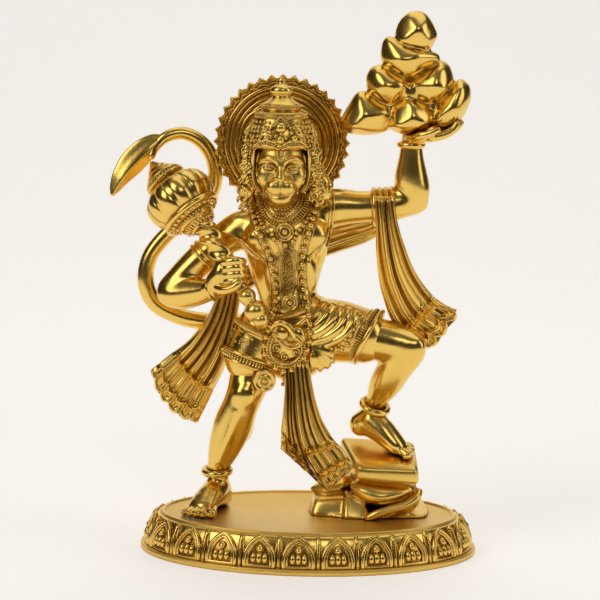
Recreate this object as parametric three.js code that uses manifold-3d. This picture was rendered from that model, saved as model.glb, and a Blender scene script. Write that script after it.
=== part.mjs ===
import * as THREE from 'three';
import { ConvexGeometry } from 'three/addons/geometries/ConvexGeometry.js';
import { mergeVertices } from 'three/addons/utils/BufferGeometryUtils.js';
import Module from 'manifold-3d';

// A gilt cast figure of Hanuman carrying a mountain, on an oval petalled plinth.
// Millimetres, +Z up. The origin is the centre of the plinth's underside and the figure faces -Y.

// Plinth
const plinthLength = 94;
const plinthWidth = 62.6;
const plinthHeight = 10.5;
const footBandHeight = 2.1;
const footLedge = 1.8;
const friezeLean = 3;
const rimInset = 5.6;
const rimThickness = 0.9;
const rimLipWidth = 1.2;
const grooveDepth = 0.6;
const fieldDrop = 0.5;
const petalCount = 22;
const facetsPerPetal = 2;
const petalHeight = 5.9;
const petalFoot = 0.3;
const petalGap = 1.1;
const petalRelief = 0.5;
const petalBeadRadius = 0.75;
const petalOffset = -2.6;

// Halo behind the head
const haloRadius = 19.1;
const haloThickness = 1.9;
const haloToothCount = 36;
const haloToothDepth = 1.3;
const haloOuterRing = 15.2;
const haloInnerRing = 11.9;
const haloRingWidth = 1.1;
const haloRingRelief = 0.5;
const haloClearance = 0.3;

// Figure: every position below is a share of its height, in hundredths, from the plinth's field
const figureHeight = 139.5;
const share = figureHeight / 100;
const haloCentre = [-6.7, 7.24, 73.6];

const gilt = { color: 0xd9a436, metalness: 1 };
const front = new THREE.Vector3(0, -1, 0);
const upward = new THREE.Vector3(0, 0, 1);

const wasm = await Module();
wasm.setup();

// Solid geometry helpers
function solid(geometry) {
  const bare = geometry.clone();
  bare.deleteAttribute('normal');
  bare.deleteAttribute('uv');
  const merged = mergeVertices(bare, 1e-4);
  return new wasm.Manifold(new wasm.Mesh({
    numProp: 3,
    vertProperties: new Float32Array(merged.attributes.position.array),
    triVerts: new Uint32Array(merged.index.array),
  }));
}

function joined(pieces) {
  return pieces.flat(3).reduce((whole, piece) => whole.add(piece));
}

function geometryOf(manifold) {
  const mesh = manifold.getMesh();
  const geometry = new THREE.BufferGeometry();
  geometry.setAttribute('position', new THREE.BufferAttribute(mesh.vertProperties, 3));
  geometry.setIndex(new THREE.BufferAttribute(mesh.triVerts, 1));
  return geometry;
}

// Closed skin over rings of points, ending in a single point at each end
function skinned(startPoint, rings, endPoint) {
  const sides = rings[0].length;
  const points = [startPoint, ...rings.flat(), endPoint];
  const faces = [];
  const vertex = (ring, side) => 1 + ring * sides + (side % sides);
  const last = points.length - 1;
  for (let side = 0; side < sides; side += 1) {
    faces.push(0, vertex(0, side + 1), vertex(0, side));
    for (let ring = 0; ring < rings.length - 1; ring += 1) {
      const a = vertex(ring, side);
      const b = vertex(ring, side + 1);
      const c = vertex(ring + 1, side + 1);
      const d = vertex(ring + 1, side);
      faces.push(a, b, c, a, c, d);
    }
    faces.push(last, vertex(rings.length - 1, side), vertex(rings.length - 1, side + 1));
  }
  const geometry = new THREE.BufferGeometry();
  const flat = points.flatMap((point) => [point.x, point.y, point.z]);
  geometry.setAttribute('position', new THREE.Float32BufferAttribute(flat, 3));
  geometry.setIndex(faces);
  return solid(geometry);
}

function blended(before, from, to, after, t) {
  const bend = 2 * before - 5 * from + 4 * to - after;
  const twist = -before + 3 * from - 3 * to + after;
  return 0.5 * (2 * from + (to - before) * t + bend * t * t + twist * t * t * t);
}

// Smooth curve through rows of numbers, column by column
function smoothRows(rows, steps) {
  const fine = [];
  for (let i = 0; i < rows.length - 1; i += 1) {
    const before = rows[Math.max(i - 1, 0)];
    const after = rows[Math.min(i + 2, rows.length - 1)];
    for (let step = 0; step < steps; step += 1) {
      const t = step / steps;
      fine.push(rows[i].map((value, k) => blended(before[k], value, rows[i + 1][k], after[k], t)));
    }
  }
  fine.push(rows.at(-1));
  return fine;
}

// Rounded body through stations [x, y, z, half width, half depth]; depth lies along facing.
// Round gives each end's dome as a part of its half width, and zero leaves that end flat.
const domeRim = 0.7;

function limb(stations, options = {}) {
  const { sides = 8, steps = 1, facing = front, round = [0, 0.7], section = () => 1 } = options;
  const rows = smoothRows(stations, steps);
  const centres = rows.map(([x, y, z]) => new THREE.Vector3(x, y, z));
  const ringAt = (index, centre, size) => {
    const ahead = centres[Math.min(index + 1, centres.length - 1)];
    const behind = centres[Math.max(index - 1, 0)];
    const along = ahead.clone().sub(behind).normalize();
    const deep = facing.clone().addScaledVector(along, -facing.dot(along)).normalize();
    const wide = new THREE.Vector3().crossVectors(deep, along);
    const [, , , halfWidth, halfDepth = rows[index][3]] = rows[index];
    return Array.from({ length: sides }, (_, side) => {
      const angle = (side / sides) * 2 * Math.PI;
      const reach = size * section(angle, index / (rows.length - 1));
      return centre.clone()
        .addScaledVector(wide, halfWidth * reach * Math.cos(angle))
        .addScaledVector(deep, halfDepth * reach * Math.sin(angle));
    });
  };
  const rings = centres.map((centre, index) => ringAt(index, centre, 1));
  const end = centres.length - 1;
  const capped = (index, away, roundness) => {
    const reach = rows[index][3] * roundness;
    const outward = (distance) => centres[index].clone().addScaledVector(away, distance);
    const rim = roundness > 0 ? [ringAt(index, outward(reach * domeRim), domeRim)] : [];
    return { rim, tip: outward(reach) };
  };
  const start = capped(0, centres[0].clone().sub(centres[1]).normalize(), round[0]);
  const finish = capped(end, centres[end].clone().sub(centres[end - 1]).normalize(), round[1]);
  return skinned(start.tip, [...start.rim, ...rings, ...finish.rim], finish.tip);
}

function ball([x, y, z], [wide, deep, tall], detail = 0) {
  const geometry = new THREE.IcosahedronGeometry(1, detail);
  geometry.scale(wide, deep, tall);
  geometry.translate(x, y, z);
  return solid(geometry);
}

// String of beads: a cord that swells at every bead
function beadString(points, pitch, radius) {
  const curve = new THREE.CatmullRomCurve3(points.map((point) => new THREE.Vector3(...point)));
  const count = Math.round(curve.getLength() / pitch) * 2;
  const stations = Array.from({ length: count + 1 }, (_, index) => {
    const spot = curve.getPointAt(index / count);
    return [spot.x, spot.y, spot.z, index % 2 === 0 ? radius * 0.45 : radius];
  });
  return limb(stations, { sides: 4, round: [0, 0] });
}

// Ring of round section about an axis, for bracelets, hems and anklets
function hoop([x, y, z], axis, [halfWidth, halfDepth], thickness, sides = 10) {
  const geometry = new THREE.TorusGeometry(1, thickness / halfWidth, 4, sides);
  geometry.scale(halfWidth, halfDepth, halfWidth);
  const along = new THREE.Vector3(...axis).normalize();
  geometry.applyQuaternion(new THREE.Quaternion().setFromUnitVectors(upward, along));
  geometry.translate(x, y, z);
  return solid(geometry);
}

// Pleated cloth between two edges, thicker along its hem and shallower in its pleats at the top
const hemShare = 0.24;
const hemRelief = 0.3;
const topPleat = 0.45;

function drape(leftEdge, rightEdge, options = {}) {
  const { flutes = 5, thickness = 1.6, ripple = 0.8, scallop = 0.8 } = options;
  const columns = flutes * 2;
  const last = leftEdge.length - 1;
  const rings = leftEdge.map((left, row) => {
    const along = row / last;
    const hem = along > 1 - hemShare ? hemRelief : 0;
    const pleat = ripple * Math.min(1, topPleat + along);
    const from = new THREE.Vector3(...left);
    const to = new THREE.Vector3(...rightEdge[row]);
    const point = (column, side) => {
      const crest = column % 2;
      const spot = from.clone().lerp(to, column / columns);
      spot.y -= side * (thickness / 2 + hem) + pleat * crest;
      spot.z -= row === last ? scallop * crest : 0;
      return spot;
    };
    const faceRow = Array.from({ length: columns + 1 }, (_, column) => point(columns - column, 1));
    const backRow = Array.from({ length: columns + 1 }, (_, column) => point(column, -1));
    return [...faceRow, ...backRow];
  });
  const middle = (ring) => {
    const sum = ring.reduce((total, spot) => total.add(spot), new THREE.Vector3());
    return sum.divideScalar(ring.length);
  };
  return skinned(middle(rings[0]), rings, middle(rings[last]));
}

// Smooth boulder: the convex skin of points spread over an oval, pushed in and out in turn
const boulderPoints = 13;
const boulderUnevenness = 0.08;

function boulder([x, y, z], [wide, deep, tall], seed) {
  const golden = Math.PI * (3 - Math.sqrt(5));
  const points = Array.from({ length: boulderPoints }, (_, index) => {
    const height = 1 - (2 * (index + 0.5)) / boulderPoints;
    const across = Math.sqrt(1 - height * height);
    const turn = index * golden + seed;
    const push = 1 + boulderUnevenness * Math.sin(3 * turn + seed * 2);
    const spot = new THREE.Vector3(across * Math.cos(turn), across * Math.sin(turn), height);
    return spot.multiplyScalar(push).multiply(new THREE.Vector3(wide, deep, tall));
  });
  const geometry = new ConvexGeometry(points);
  geometry.translate(x, y, z);
  return solid(geometry);
}

function slab(corners) {
  return solid(new ConvexGeometry(corners.map((corner) => new THREE.Vector3(...corner))));
}

// Plinth: oval rings from the foot band up to the lipped rim, in facets that line up with the petals
const friezeTop = plinthHeight - rimThickness;
const fieldHeight = plinthHeight - fieldDrop;

function friezeInset(rise) {
  return footLedge + friezeLean * rise ** 1.6;
}

const halfLength = plinthLength / 2;
const halfWidth = plinthWidth / 2;
const middleInset = friezeInset(0.5);
const friezeOval = new THREE.EllipseCurve(0, 0, halfLength - middleInset, halfWidth - middleInset);
const petalPitch = friezeOval.getLength() / petalCount;

// Turn about the oval's centre at a distance along the frieze, counted from the front
function turnAt(arc) {
  const fraction = arc / friezeOval.getLength() - 0.25;
  const spot = friezeOval.getPointAt(fraction - Math.floor(fraction));
  return Math.atan2(spot.y / friezeOval.yRadius, spot.x / friezeOval.xRadius);
}

function ovalPoint(turn, inset, z) {
  const x = (halfLength - inset) * Math.cos(turn);
  const y = (halfWidth - inset) * Math.sin(turn);
  return new THREE.Vector3(x, y, z);
}

function plinthOval(inset, z) {
  return Array.from({ length: petalCount * facetsPerPetal }, (_, side) => {
    const arc = petalOffset + side * (petalPitch / facetsPerPetal);
    return ovalPoint(turnAt(arc), inset, z);
  });
}

function plinthBody() {
  const friezeRings = [0, 0.5, 1].map((rise) => (
    plinthOval(friezeInset(rise), footBandHeight + rise * (friezeTop - footBandHeight))
  ));
  const rings = [
    plinthOval(0, 0),
    plinthOval(0, footBandHeight),
    ...friezeRings,
    plinthOval(rimInset + grooveDepth, friezeTop),
    plinthOval(rimInset, friezeTop + rimThickness / 3),
    plinthOval(rimInset, plinthHeight),
    plinthOval(rimInset + rimLipWidth, plinthHeight),
    plinthOval(rimInset + rimLipWidth, fieldHeight),
  ];
  return skinned(new THREE.Vector3(0, 0, 0), rings, new THREE.Vector3(0, 0, fieldHeight));
}

// A point on the frieze: arc along the oval, height above the foot band, distance proud of it
function onFrieze(arc, height, proud) {
  const turn = turnAt(arc);
  const inset = friezeInset(height / (friezeTop - footBandHeight));
  const outward = new THREE.Vector3(Math.cos(turn) / halfLength, Math.sin(turn) / halfWidth, 0);
  return ovalPoint(turn, inset, footBandHeight + height).addScaledVector(outward.normalize(), proud);
}

function petal(arc) {
  const reach = (petalPitch - petalGap) / 2;
  const sunk = 1;
  const outline = new THREE.Shape([
    [-0.85, 0], [0.85, 0], [1, 0.42], [0.62, 0.78], [0, 1], [-0.62, 0.78], [-1, 0.42],
  ].map(([across, up]) => new THREE.Vector2(across * reach, petalFoot + up * petalHeight)));
  const leaf = new THREE.ExtrudeGeometry(outline, { depth: sunk + petalRelief, bevelEnabled: false });
  const position = leaf.attributes.position;
  for (let index = 0; index < position.count; index += 1) {
    const proud = position.getZ(index) - sunk;
    const spot = onFrieze(arc + position.getX(index), position.getY(index), proud);
    position.setXYZ(index, spot.x, spot.y, spot.z);
  }
  const bead = new THREE.OctahedronGeometry(petalBeadRadius);
  bead.translate(...onFrieze(arc, petalFoot + petalHeight / 2, petalRelief).toArray());
  return [solid(leaf), solid(bead)];
}

function petals() {
  return Array.from({ length: petalCount }, (_, index) => petal(petalOffset + index * petalPitch));
}

// Halo: a toothed disc with two raised rings, standing upright behind the head
function onHaloAxis(forward) {
  const [x, back, z] = haloCentre.map((value) => value * share);
  return new THREE.Vector3(x, back - forward, fieldHeight + z);
}

function haloRing(radius, forward, toothDepth = 0) {
  const sides = haloToothCount * 2;
  return Array.from({ length: sides }, (_, side) => {
    const angle = (side / sides) * 2 * Math.PI;
    const reach = radius - (side % 2 === 0 ? toothDepth : 0);
    const outward = new THREE.Vector3(Math.cos(angle), 0, Math.sin(angle));
    return onHaloAxis(forward).addScaledVector(outward, reach);
  });
}

function haloDisc() {
  const face = haloThickness - haloRingRelief;
  const rings = [
    haloRing(haloRadius, 0, haloToothDepth),
    haloRing(haloRadius, face / 2, haloToothDepth),
    haloRing(haloRadius - haloToothDepth, face),
  ];
  const disc = skinned(onHaloAxis(0), rings, onHaloAxis(face));
  const raised = [haloOuterRing, haloInnerRing].map((radius) => {
    const ring = new THREE.TorusGeometry(radius, haloRingWidth / 2, 4, haloToothCount);
    ring.scale(1, 1, haloRingRelief / (haloRingWidth / 2));
    ring.rotateX(Math.PI / 2);
    ring.translate(...onHaloAxis(face).toArray());
    return solid(ring);
  });
  return joined([disc, raised]);
}

// Space that the halo takes, with its clearance, to be cut out of the figure
function haloRelief() {
  const reach = haloRadius + haloClearance;
  const behind = -haloClearance;
  const ahead = haloThickness + haloClearance;
  const rings = [haloRing(reach, behind), haloRing(reach, ahead)];
  return skinned(onHaloAxis(behind), rings, onHaloAxis(ahead));
}

// Figure
function trunk() {
  const body = limb([
    [-4, 1.6, 38.4, 6, 4.8],
    [-4.4, 1.6, 41, 6.4, 5],
    [-5.1, 1.6, 44.7, 6.3, 4.8],
    [-5.5, 1.8, 50.3, 7.7, 5.1],
    [-5.4, 2.2, 55.3, 8.6, 5.2],
    [-5.3, 2.5, 58.6, 7, 4.2],
    [-5.5, 2.5, 60.6, 3.4, 3],
  ], { sides: 10, round: [0, 0] });
  const chest = [
    ball([-9.4, -0.6, 55.6], [4, 2.8, 3]),
    ball([-1.4, -0.6, 56.2], [4, 2.8, 3]),
  ];
  const belly = ball([-4.4, -1.2, 41.4], [4.4, 2.8, 4.4]);
  const neck = limb([[-5.6, 2.2, 59, 2.7, 2.6], [-6.4, 0.8, 64.5, 2.5, 2.6]], { round: [0, 0] });
  return [body, chest, belly, neck];
}

function head() {
  const skull = limb([
    [-6.7, -0.6, 62.6, 2.6, 3.2],
    [-6.7, -0.4, 64.6, 4.4, 4.7],
    [-6.7, 0.2, 68.6, 5.3, 5.6],
    [-6.7, 0.4, 72.4, 5.1, 5.4],
  ], { sides: 10, round: [0.4, 0] });
  const muzzle = [
    ball([-7.9, -4.8, 65.2], [1.8, 1.7, 1.5]),
    ball([-5.5, -4.8, 65.2], [1.8, 1.7, 1.5]),
    ball([-6.7, -3.9, 63.8], [1.9, 1.9, 1.6]),
  ];
  const nose = limb([[-6.7, -4.8, 69.4, 0.5], [-6.7, -6.1, 67, 0.9]], { sides: 4 });
  const brow = limb([
    [-10.6, -3.6, 69.6, 0.5],
    [-8.8, -4.9, 70.4, 0.7],
    [-6.7, -5.3, 69.8, 0.6],
    [-4.6, -4.9, 70.4, 0.7],
    [-2.8, -3.6, 69.6, 0.5],
  ], { sides: 4, round: [0, 0] });
  const eyes = [-9, -4.4].map((x) => ball([x, -4.5, 68.7], [0.9, 0.6, 0.55]));
  const ears = [-12.4, -1].map((x) => ball([x, 0, 69], [1.5, 0.9, 2]));
  return [skull, muzzle, nose, brow, eyes, ears];
}

function hair() {
  const right = limb([
    [-11.8, 1.8, 74.4, 1.4, 1.8],
    [-13.2, 1.4, 70.5, 1.7, 2.2],
    [-13.5, 1, 66.5, 1.8, 2.2],
    [-12.9, 0.4, 63, 1.7, 2],
    [-11.9, -0.6, 60.4, 1, 1],
  ]);
  const left = limb([
    [-1, 1.8, 74.4, 1.4, 1.8],
    [0.6, 1.4, 70.8, 1.8, 2.2],
    [1.7, 1, 66.8, 2.1, 2.2],
    [2.3, 0.6, 63, 2.2, 2],
    [1.9, -0.4, 60.6, 1.2, 1],
  ]);
  const nape = limb([
    [-6.2, 3.4, 72.6, 7.2, 3],
    [-5.8, 3.2, 66, 8.2, 3],
    [-5.5, 3.2, 60.6, 7, 2],
  ], { round: [0, 0.2] });
  return [right, left, nape];
}

function crown() {
  const profile = [
    [6.2, 72.6], [6.6, 73.2], [6.2, 74.2], [7.1, 76.2], [6.6, 78.2], [5, 79.1], [5.3, 79.8],
    [3.1, 80.9], [3.9, 81.9], [1.8, 82.8], [1.5, 83.3], [2.4, 84.6], [1.4, 86.1],
  ];
  const sides = 10;
  const x = -6.9;
  const depthShare = 0.86;
  const rings = profile.map(([radius, z]) => Array.from({ length: sides }, (_, side) => {
    const angle = (side / sides) * 2 * Math.PI;
    return new THREE.Vector3(x + radius * Math.cos(angle), depthShare * radius * Math.sin(angle), z);
  }));
  const cap = skinned(new THREE.Vector3(x, 0, 72), rings, new THREE.Vector3(x, 0, 87.1));
  const crest = [
    ball([x, -5.4, 78], [1.2, 1, 1.7]),
    ball([x - 1.9, -5.2, 75.8], [1.1, 1, 1.1]),
    ball([x + 1.9, -5.2, 75.8], [1.1, 1, 1.1]),
    ball([x, -5.8, 75.6], [1, 0.9, 1]),
  ];
  return [cap, crest];
}

function raisedArm() {
  const upper = limb([
    [0.5, 2.6, 59.6, 4.2, 3.6],
    [4.7, 2.9, 61, 3.9, 3.6],
    [9.4, 2.5, 61.3, 3.4, 3.3],
    [14.9, 2.2, 61.8, 3.4, 3.3],
    [19.4, 2.2, 62.9, 3, 3],
  ]);
  const fore = limb([
    [19.8, 2.2, 62.3, 2.6, 2.8],
    [19.1, 1.9, 66.5, 3.6, 3.4],
    [18.8, 1.1, 71.4, 2.5, 2.5],
    [18.8, 0.7, 75, 2.1, 2],
  ]);
  const palm = limb([
    [18.6, 0.4, 75.3, 2.2, 2.4],
    [21.1, 0, 76.5, 1.8, 3.2],
    [23.8, -0.2, 77.4, 1.3, 3.2],
  ], { round: [0, 0.2] });
  const fingers = [2.6, 4.2, 4.4, 3.2].map((reach, index) => {
    const y = -2.7 + index * 1.75;
    return limb([[23.4, y, 77.2, 0.8], [24.4 + reach, y, 79, 0.7]], { sides: 4, round: [0, 0] });
  });
  const thumb = limb([[19.4, -2, 75.6, 0.9], [20.6, -3.2, 78, 0.8]], { sides: 4, round: [0, 0] });
  const bracelet = hoop([18.8, 0.7, 73.9], [0, 0, 1], [2.3, 2.3], 0.7, 10);
  return [upper, fore, palm, fingers, thumb, bracelet];
}

function maceArm() {
  const upper = limb([
    [-9, 2.4, 56.8, 4.2, 3.6],
    [-13.6, 3.2, 57, 3.9, 3.7],
    [-18.2, 3.8, 54, 3.4, 3.4],
    [-23.5, 3.8, 49.1, 3.3, 3.3],
    [-28.4, 3.7, 44.2, 2.8, 3],
  ]);
  const fore = limb([
    [-28.8, 3.5, 43.6, 2.8, 2.9],
    [-25.4, 2, 43.6, 3.1, 3.1],
    [-21.3, -1, 44.6, 2.4, 2.4],
    [-18.4, -3.2, 45.8, 2, 2],
  ], { round: [0.7, 0] });
  const fist = ball([-16.4, -4.2, 48], [3.2, 3.1, 3.5]);
  const knuckles = [0, 1, 2, 3].map((index) => limb([
    [-17.8 + index * 0.6, -5.6, 51.2 - index * 1.45, 0.65],
    [-13 + index * 0.5, -6.2, 50 - index * 1.45, 0.65],
  ], { sides: 4, round: [0, 0] }));
  const bracelet = hoop([-19.5, -2.5, 45.4], [0.85, -0.5, 0.2], [2.2, 2.2], 0.5, 10);
  const armlet = hoop([-21.6, 3.8, 50.9], [0.72, 0, 0.69], [3.4, 3.4], 0.6);
  return [upper, fore, fist, knuckles, bracelet, armlet];
}

function mace() {
  const lobes = 11;
  const lobed = (angle) => 0.9 + 0.1 * Math.abs(Math.sin((angle * lobes) / 2));
  const bulb = limb([
    [-29.6, 4.1, 67.1, 2.7],
    [-28.6, 3.6, 65.7, 5],
    [-27.2, 2.8, 64, 6.2],
    [-25.9, 2, 62.2, 6.3],
    [-24.7, 1.3, 60.6, 5.2],
  ], { sides: lobes * 2, section: lobed, round: [0, 0] });
  const cap = limb([
    [-33, 6.4, 70.3, 0.6],
    [-31.4, 5.3, 68.6, 1.4],
    [-30.6, 4.7, 67.9, 2.9],
    [-29.4, 3.9, 66.6, 4],
  ], { sides: 10, round: [0.3, 0] });
  const collar = limb([
    [-25.2, 1.7, 61.2, 5.2],
    [-24.5, 1.2, 60.3, 5.9],
    [-24.1, 1, 59.8, 4.8],
    [-23.3, 0.5, 58.9, 4.3],
    [-22.2, -0.2, 57.6, 2.6],
    [-21.2, -0.9, 56.3, 2],
  ], { sides: 10, round: [0, 0] });
  const spiral = (angle, along) => 1 - 0.2 * Math.abs(Math.sin(1.5 * angle + along * 12));
  const shaft = limb([
    [-21.6, -0.8, 57, 2.1],
    [-19.2, -2.2, 54.3, 2.2],
    [-16.8, -3.7, 51.3, 2],
    [-14.4, -5.1, 48, 1.6],
    [-13, -6.1, 45.8, 1.3],
  ], { sides: 6, steps: 2, section: spiral, round: [0, 0] });
  const knops = [
    ball([-12.5, -6.6, 44.7], [1.7, 1.7, 1.7]),
    ball([-10.8, -7.6, 42.2], [2.2, 2.2, 2.2]),
    ball([-9.6, -8.3, 40.4], [1.4, 1.4, 1.4]),
  ];
  return [bulb, cap, collar, shaft, knops];
}

function tail() {
  const tube = limb([
    [-7, 5.2, 37.5, 2.2],
    [-14, 7, 36.9, 2],
    [-21.6, 7.9, 37.1, 1.8],
    [-27.1, 8.6, 38.1, 1.7],
    [-31.8, 9, 40.6, 1.7],
    [-33.7, 9, 44.9, 1.7],
    [-32.9, 9.3, 50, 1.6],
    [-29.4, 9.7, 54.6, 1.6],
    [-25, 10.4, 58, 1.6],
    [-21.6, 10, 61.5, 1.5],
    [-20, 9.6, 65.6, 1.5],
    [-20.6, 9.4, 70, 1.5],
    [-22.7, 9.2, 73.2, 1.4],
    [-26.3, 8.8, 74.8, 1.3],
    [-29.8, 8, 73.8, 1.2],
    [-32, 7.4, 71.6, 1],
    [-32.6, 6.8, 70.3, 0.8],
  ], { sides: 6, steps: 2 });
  const ridged = (angle) => 1 - 0.25 * Math.abs(Math.sin(2 * angle));
  const tuft = limb([
    [-30.6, 7.8, 73.6, 1.1, 1],
    [-33.6, 7.4, 71.6, 2.4, 1.5],
    [-36.6, 6.9, 68.6, 2.7, 1.6],
    [-38.9, 6.5, 65.7, 1.9, 1.3],
    [-40, 6.1, 63.4, 0.9, 0.8],
  ], { section: ridged, round: [0, 0.6] });
  return [tube, tuft];
}

function standingLeg() {
  const leg = limb([
    [-11.1, 0.9, 32, 4.4, 4.4],
    [-11.6, 0.8, 29, 4.4, 4.4],
    [-12.9, -0.7, 24.4, 4, 4],
    [-13.8, -1, 21.9, 3.8, 3.8],
    [-15.4, 0.4, 17.5, 4, 4.1],
    [-16.9, 1.1, 13.2, 3.4, 3.5],
    [-18.4, 1.4, 8.8, 2.4, 2.5],
    [-18.3, 1.9, 4.4, 2.4, 2.8],
  ], { round: [0, 0] });
  const foot = limb([
    [-17.8, 4.6, 2.2, 2.2, 2.3],
    [-18.6, 1.6, 2.8, 2.5, 2.9],
    [-20.2, -2, 2.1, 2.9, 2.2],
    [-21.6, -5.2, 1.3, 3.4, 1.4],
    [-22.2, -6.6, 0.9, 3.2, 1],
  ], { facing: upward, round: [0.5, 0.2] });
  const toeTips = [[-24.6, -5.4], [-23.6, -6.8], [-22.5, -7.6], [-21.3, -8], [-19.7, -7.8]];
  const toes = toeTips.map(([x, y], index) => {
    const tip = [x - 0.2, y - 0.7, 0.6, index === 4 ? 0.9 : 0.6];
    return limb([[x + 0.6, y + 1.6, 0.9, 0.55], tip], { sides: 4, round: [0, 0] });
  });
  const anklet = hoop([-18.5, 1.4, 7.9], [-0.05, -0.1, 1], [2.7, 2.9], 0.75, 10);
  return [leg, foot, toes, anklet];
}

function steppingLeg() {
  const thigh = limb([
    [7.6, 0, 36, 4.8, 4.9],
    [12.5, -1.2, 35.6, 4.4, 4.6],
    [17.4, -2.6, 35, 3.9, 4.1],
    [19.6, -3, 33.6, 2.8, 3.2],
  ]);
  const shin = limb([
    [19.1, -2.9, 34.6, 3.3, 3.4],
    [16.8, -1.7, 30.6, 3.5, 3.6],
    [14.9, 0.2, 26.7, 3.3, 3.3],
    [13.4, 2.3, 23.2, 2.4, 2.4],
    [12.4, 3.4, 19.6, 2.2, 2.4],
  ], { round: [0, 0] });
  const foot = limb([
    [9.6, 4.7, 17.9, 2, 2],
    [11.6, 3.7, 17.8, 2.3, 2.4],
    [14, 2.2, 16, 2.4, 1.9],
    [16.5, 0.8, 14.2, 2.7, 1.3],
    [17.6, 0.2, 13.4, 2.6, 1],
  ], { facing: upward, round: [0.6, 0.2] });
  const toes = [3, 2.9, 2.6, 2.2, 1.8].map((reach, index) => {
    const x = 16.1 + index * 0.55;
    const y = -1.1 + index * 0.95;
    const thick = index === 0 ? 0.8 : 0.55;
    const tip = [x + reach, y - reach * 0.6, 12.7, thick];
    return limb([[x, y, 13.3, thick], tip], { sides: 4, round: [0, 0] });
  });
  const anklet = hoop([12.9, 2.9, 21.4], [0.25, -0.35, 0.9], [2.8, 2.8], 0.7, 10);
  return [thigh, shin, foot, toes, anklet];
}

function dhoti() {
  const hips = limb([
    [-3.6, 1.4, 31.8, 5, 4.6],
    [-3.9, 1.4, 35, 8.4, 6.3],
    [-3.6, 1.4, 37.6, 8, 6.1],
    [-3.4, 1.5, 39.6, 6.4, 5.6],
  ], { sides: 10, round: [0, 0] });
  const rightSleeve = limb([
    [-9.6, 1.4, 37.2, 5.2, 5.5],
    [-11, 0.9, 33, 5.4, 5.4],
    [-12, 0.5, 30.6, 5.3, 5.2],
  ], { round: [0, 0] });
  const folds = Array.from({ length: 7 }, (_, index) => {
    const size = (index % 2 === 0 ? 1 : 0.92) * (6.4 - index * 0.14);
    return [0.6 + index * 1.5, 0.9 - index * 0.26, 36.2 - index * 0.04, size, size * 0.95];
  });
  const leftSleeve = limb(folds, { round: [0, 0] });
  const rightHem = hoop([-12.4, 0.4, 30.9], [0.32, 0.12, 1], [5.1, 5.1], 0.8);
  const leftHem = hoop([10.2, -0.7, 36], [1, -0.24, -0.5], [5.8, 5.5], 0.7);
  const belt = hoop([-3.7, 1.4, 38.2], [0, 0.12, 1], [8, 6.4], 0.7);
  const medallion = limb([
    [-9.2, -3.6, 27.6, 2.2],
    [-9.2, -5.2, 27.3, 2.1],
  ], { round: [0, 0.2], facing: upward });
  const boss = ball([-9.2, -5.7, 27.3], [0.8, 0.8, 0.8]);
  const sideFold = drape(
    [[-0.4, -4.6, 35.4], [0, -4.6, 32.5], [1.2, -4.2, 29.8]],
    [[4.6, -4.4, 35.8], [5, -4.4, 33.4], [4.6, -4.2, 30.6]],
    { flutes: 3, thickness: 1.8, scallop: 0.2 },
  );
  return [hips, rightSleeve, leftSleeve, rightHem, leftHem, belt, medallion, boss, sideFold];
}

function cloths() {
  const hangingRight = drape(
    [[-18.3, 4, 45.2], [-21.4, 4.2, 37.8], [-25, 4.4, 33.4], [-28.6, 4.4, 30.2], [-31.8, 4.4, 27.6]],
    [[-14, 3.4, 45.2], [-14.9, 3.4, 40.4], [-17, 3.8, 30], [-19.8, 4, 22.8], [-22.6, 4.2, 16.6]],
  );
  const hangingLeft = drape([
    [11.6, -1.6, 65], [12.1, -1.6, 58.8], [12.5, -0.7, 51.3],
    [13.4, 0.2, 44.6], [16.4, 1, 37.4], [22.6, 1.8, 33.2],
  ], [
    [15.6, -1.6, 65], [16.2, -1.6, 59.6], [18, -1.1, 54],
    [20.6, 0.2, 48.4], [24.6, 1.2, 43.6], [28.5, 1.8, 41.6],
  ], { scallop: 0.2 });
  const wrapFolds = Array.from({ length: 7 }, (_, index) => (
    [11.4 + index * 0.8, 2.3, 61.5 + index * 0.05, index % 2 === 0 ? 3.4 : 4.1]
  ));
  const wrap = limb(wrapFolds, { round: [0, 0] });
  const swag = limb([
    [13.6, 4.4, 60, 2, 0.9],
    [9, 6, 57.6, 3, 0.9],
    [2, 6.8, 54.6, 3.4, 0.9],
    [-6, 6.8, 50.4, 3.4, 0.9],
    [-15.4, 5, 45.4, 2.6, 0.9],
  ]);
  const sash = drape([
    [-5.6, -4.4, 33], [-5.3, -5.3, 26.5], [-5.7, -5.9, 19.3],
    [-6.1, -6.3, 15.6], [-2.8, -6.6, 11.4], [3.2, -6.9, 6.9],
  ], [
    [-0.8, -4.4, 33], [0.3, -5.3, 27.5], [2.2, -5.9, 20.6],
    [4.6, -6.3, 16.2], [6.9, -6.6, 13.3], [8.2, -6.9, 11.9],
  ], { thickness: 1.4, ripple: 0.6, scallop: 0 });
  return [hangingRight, hangingLeft, wrap, swag, sash];
}

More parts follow.
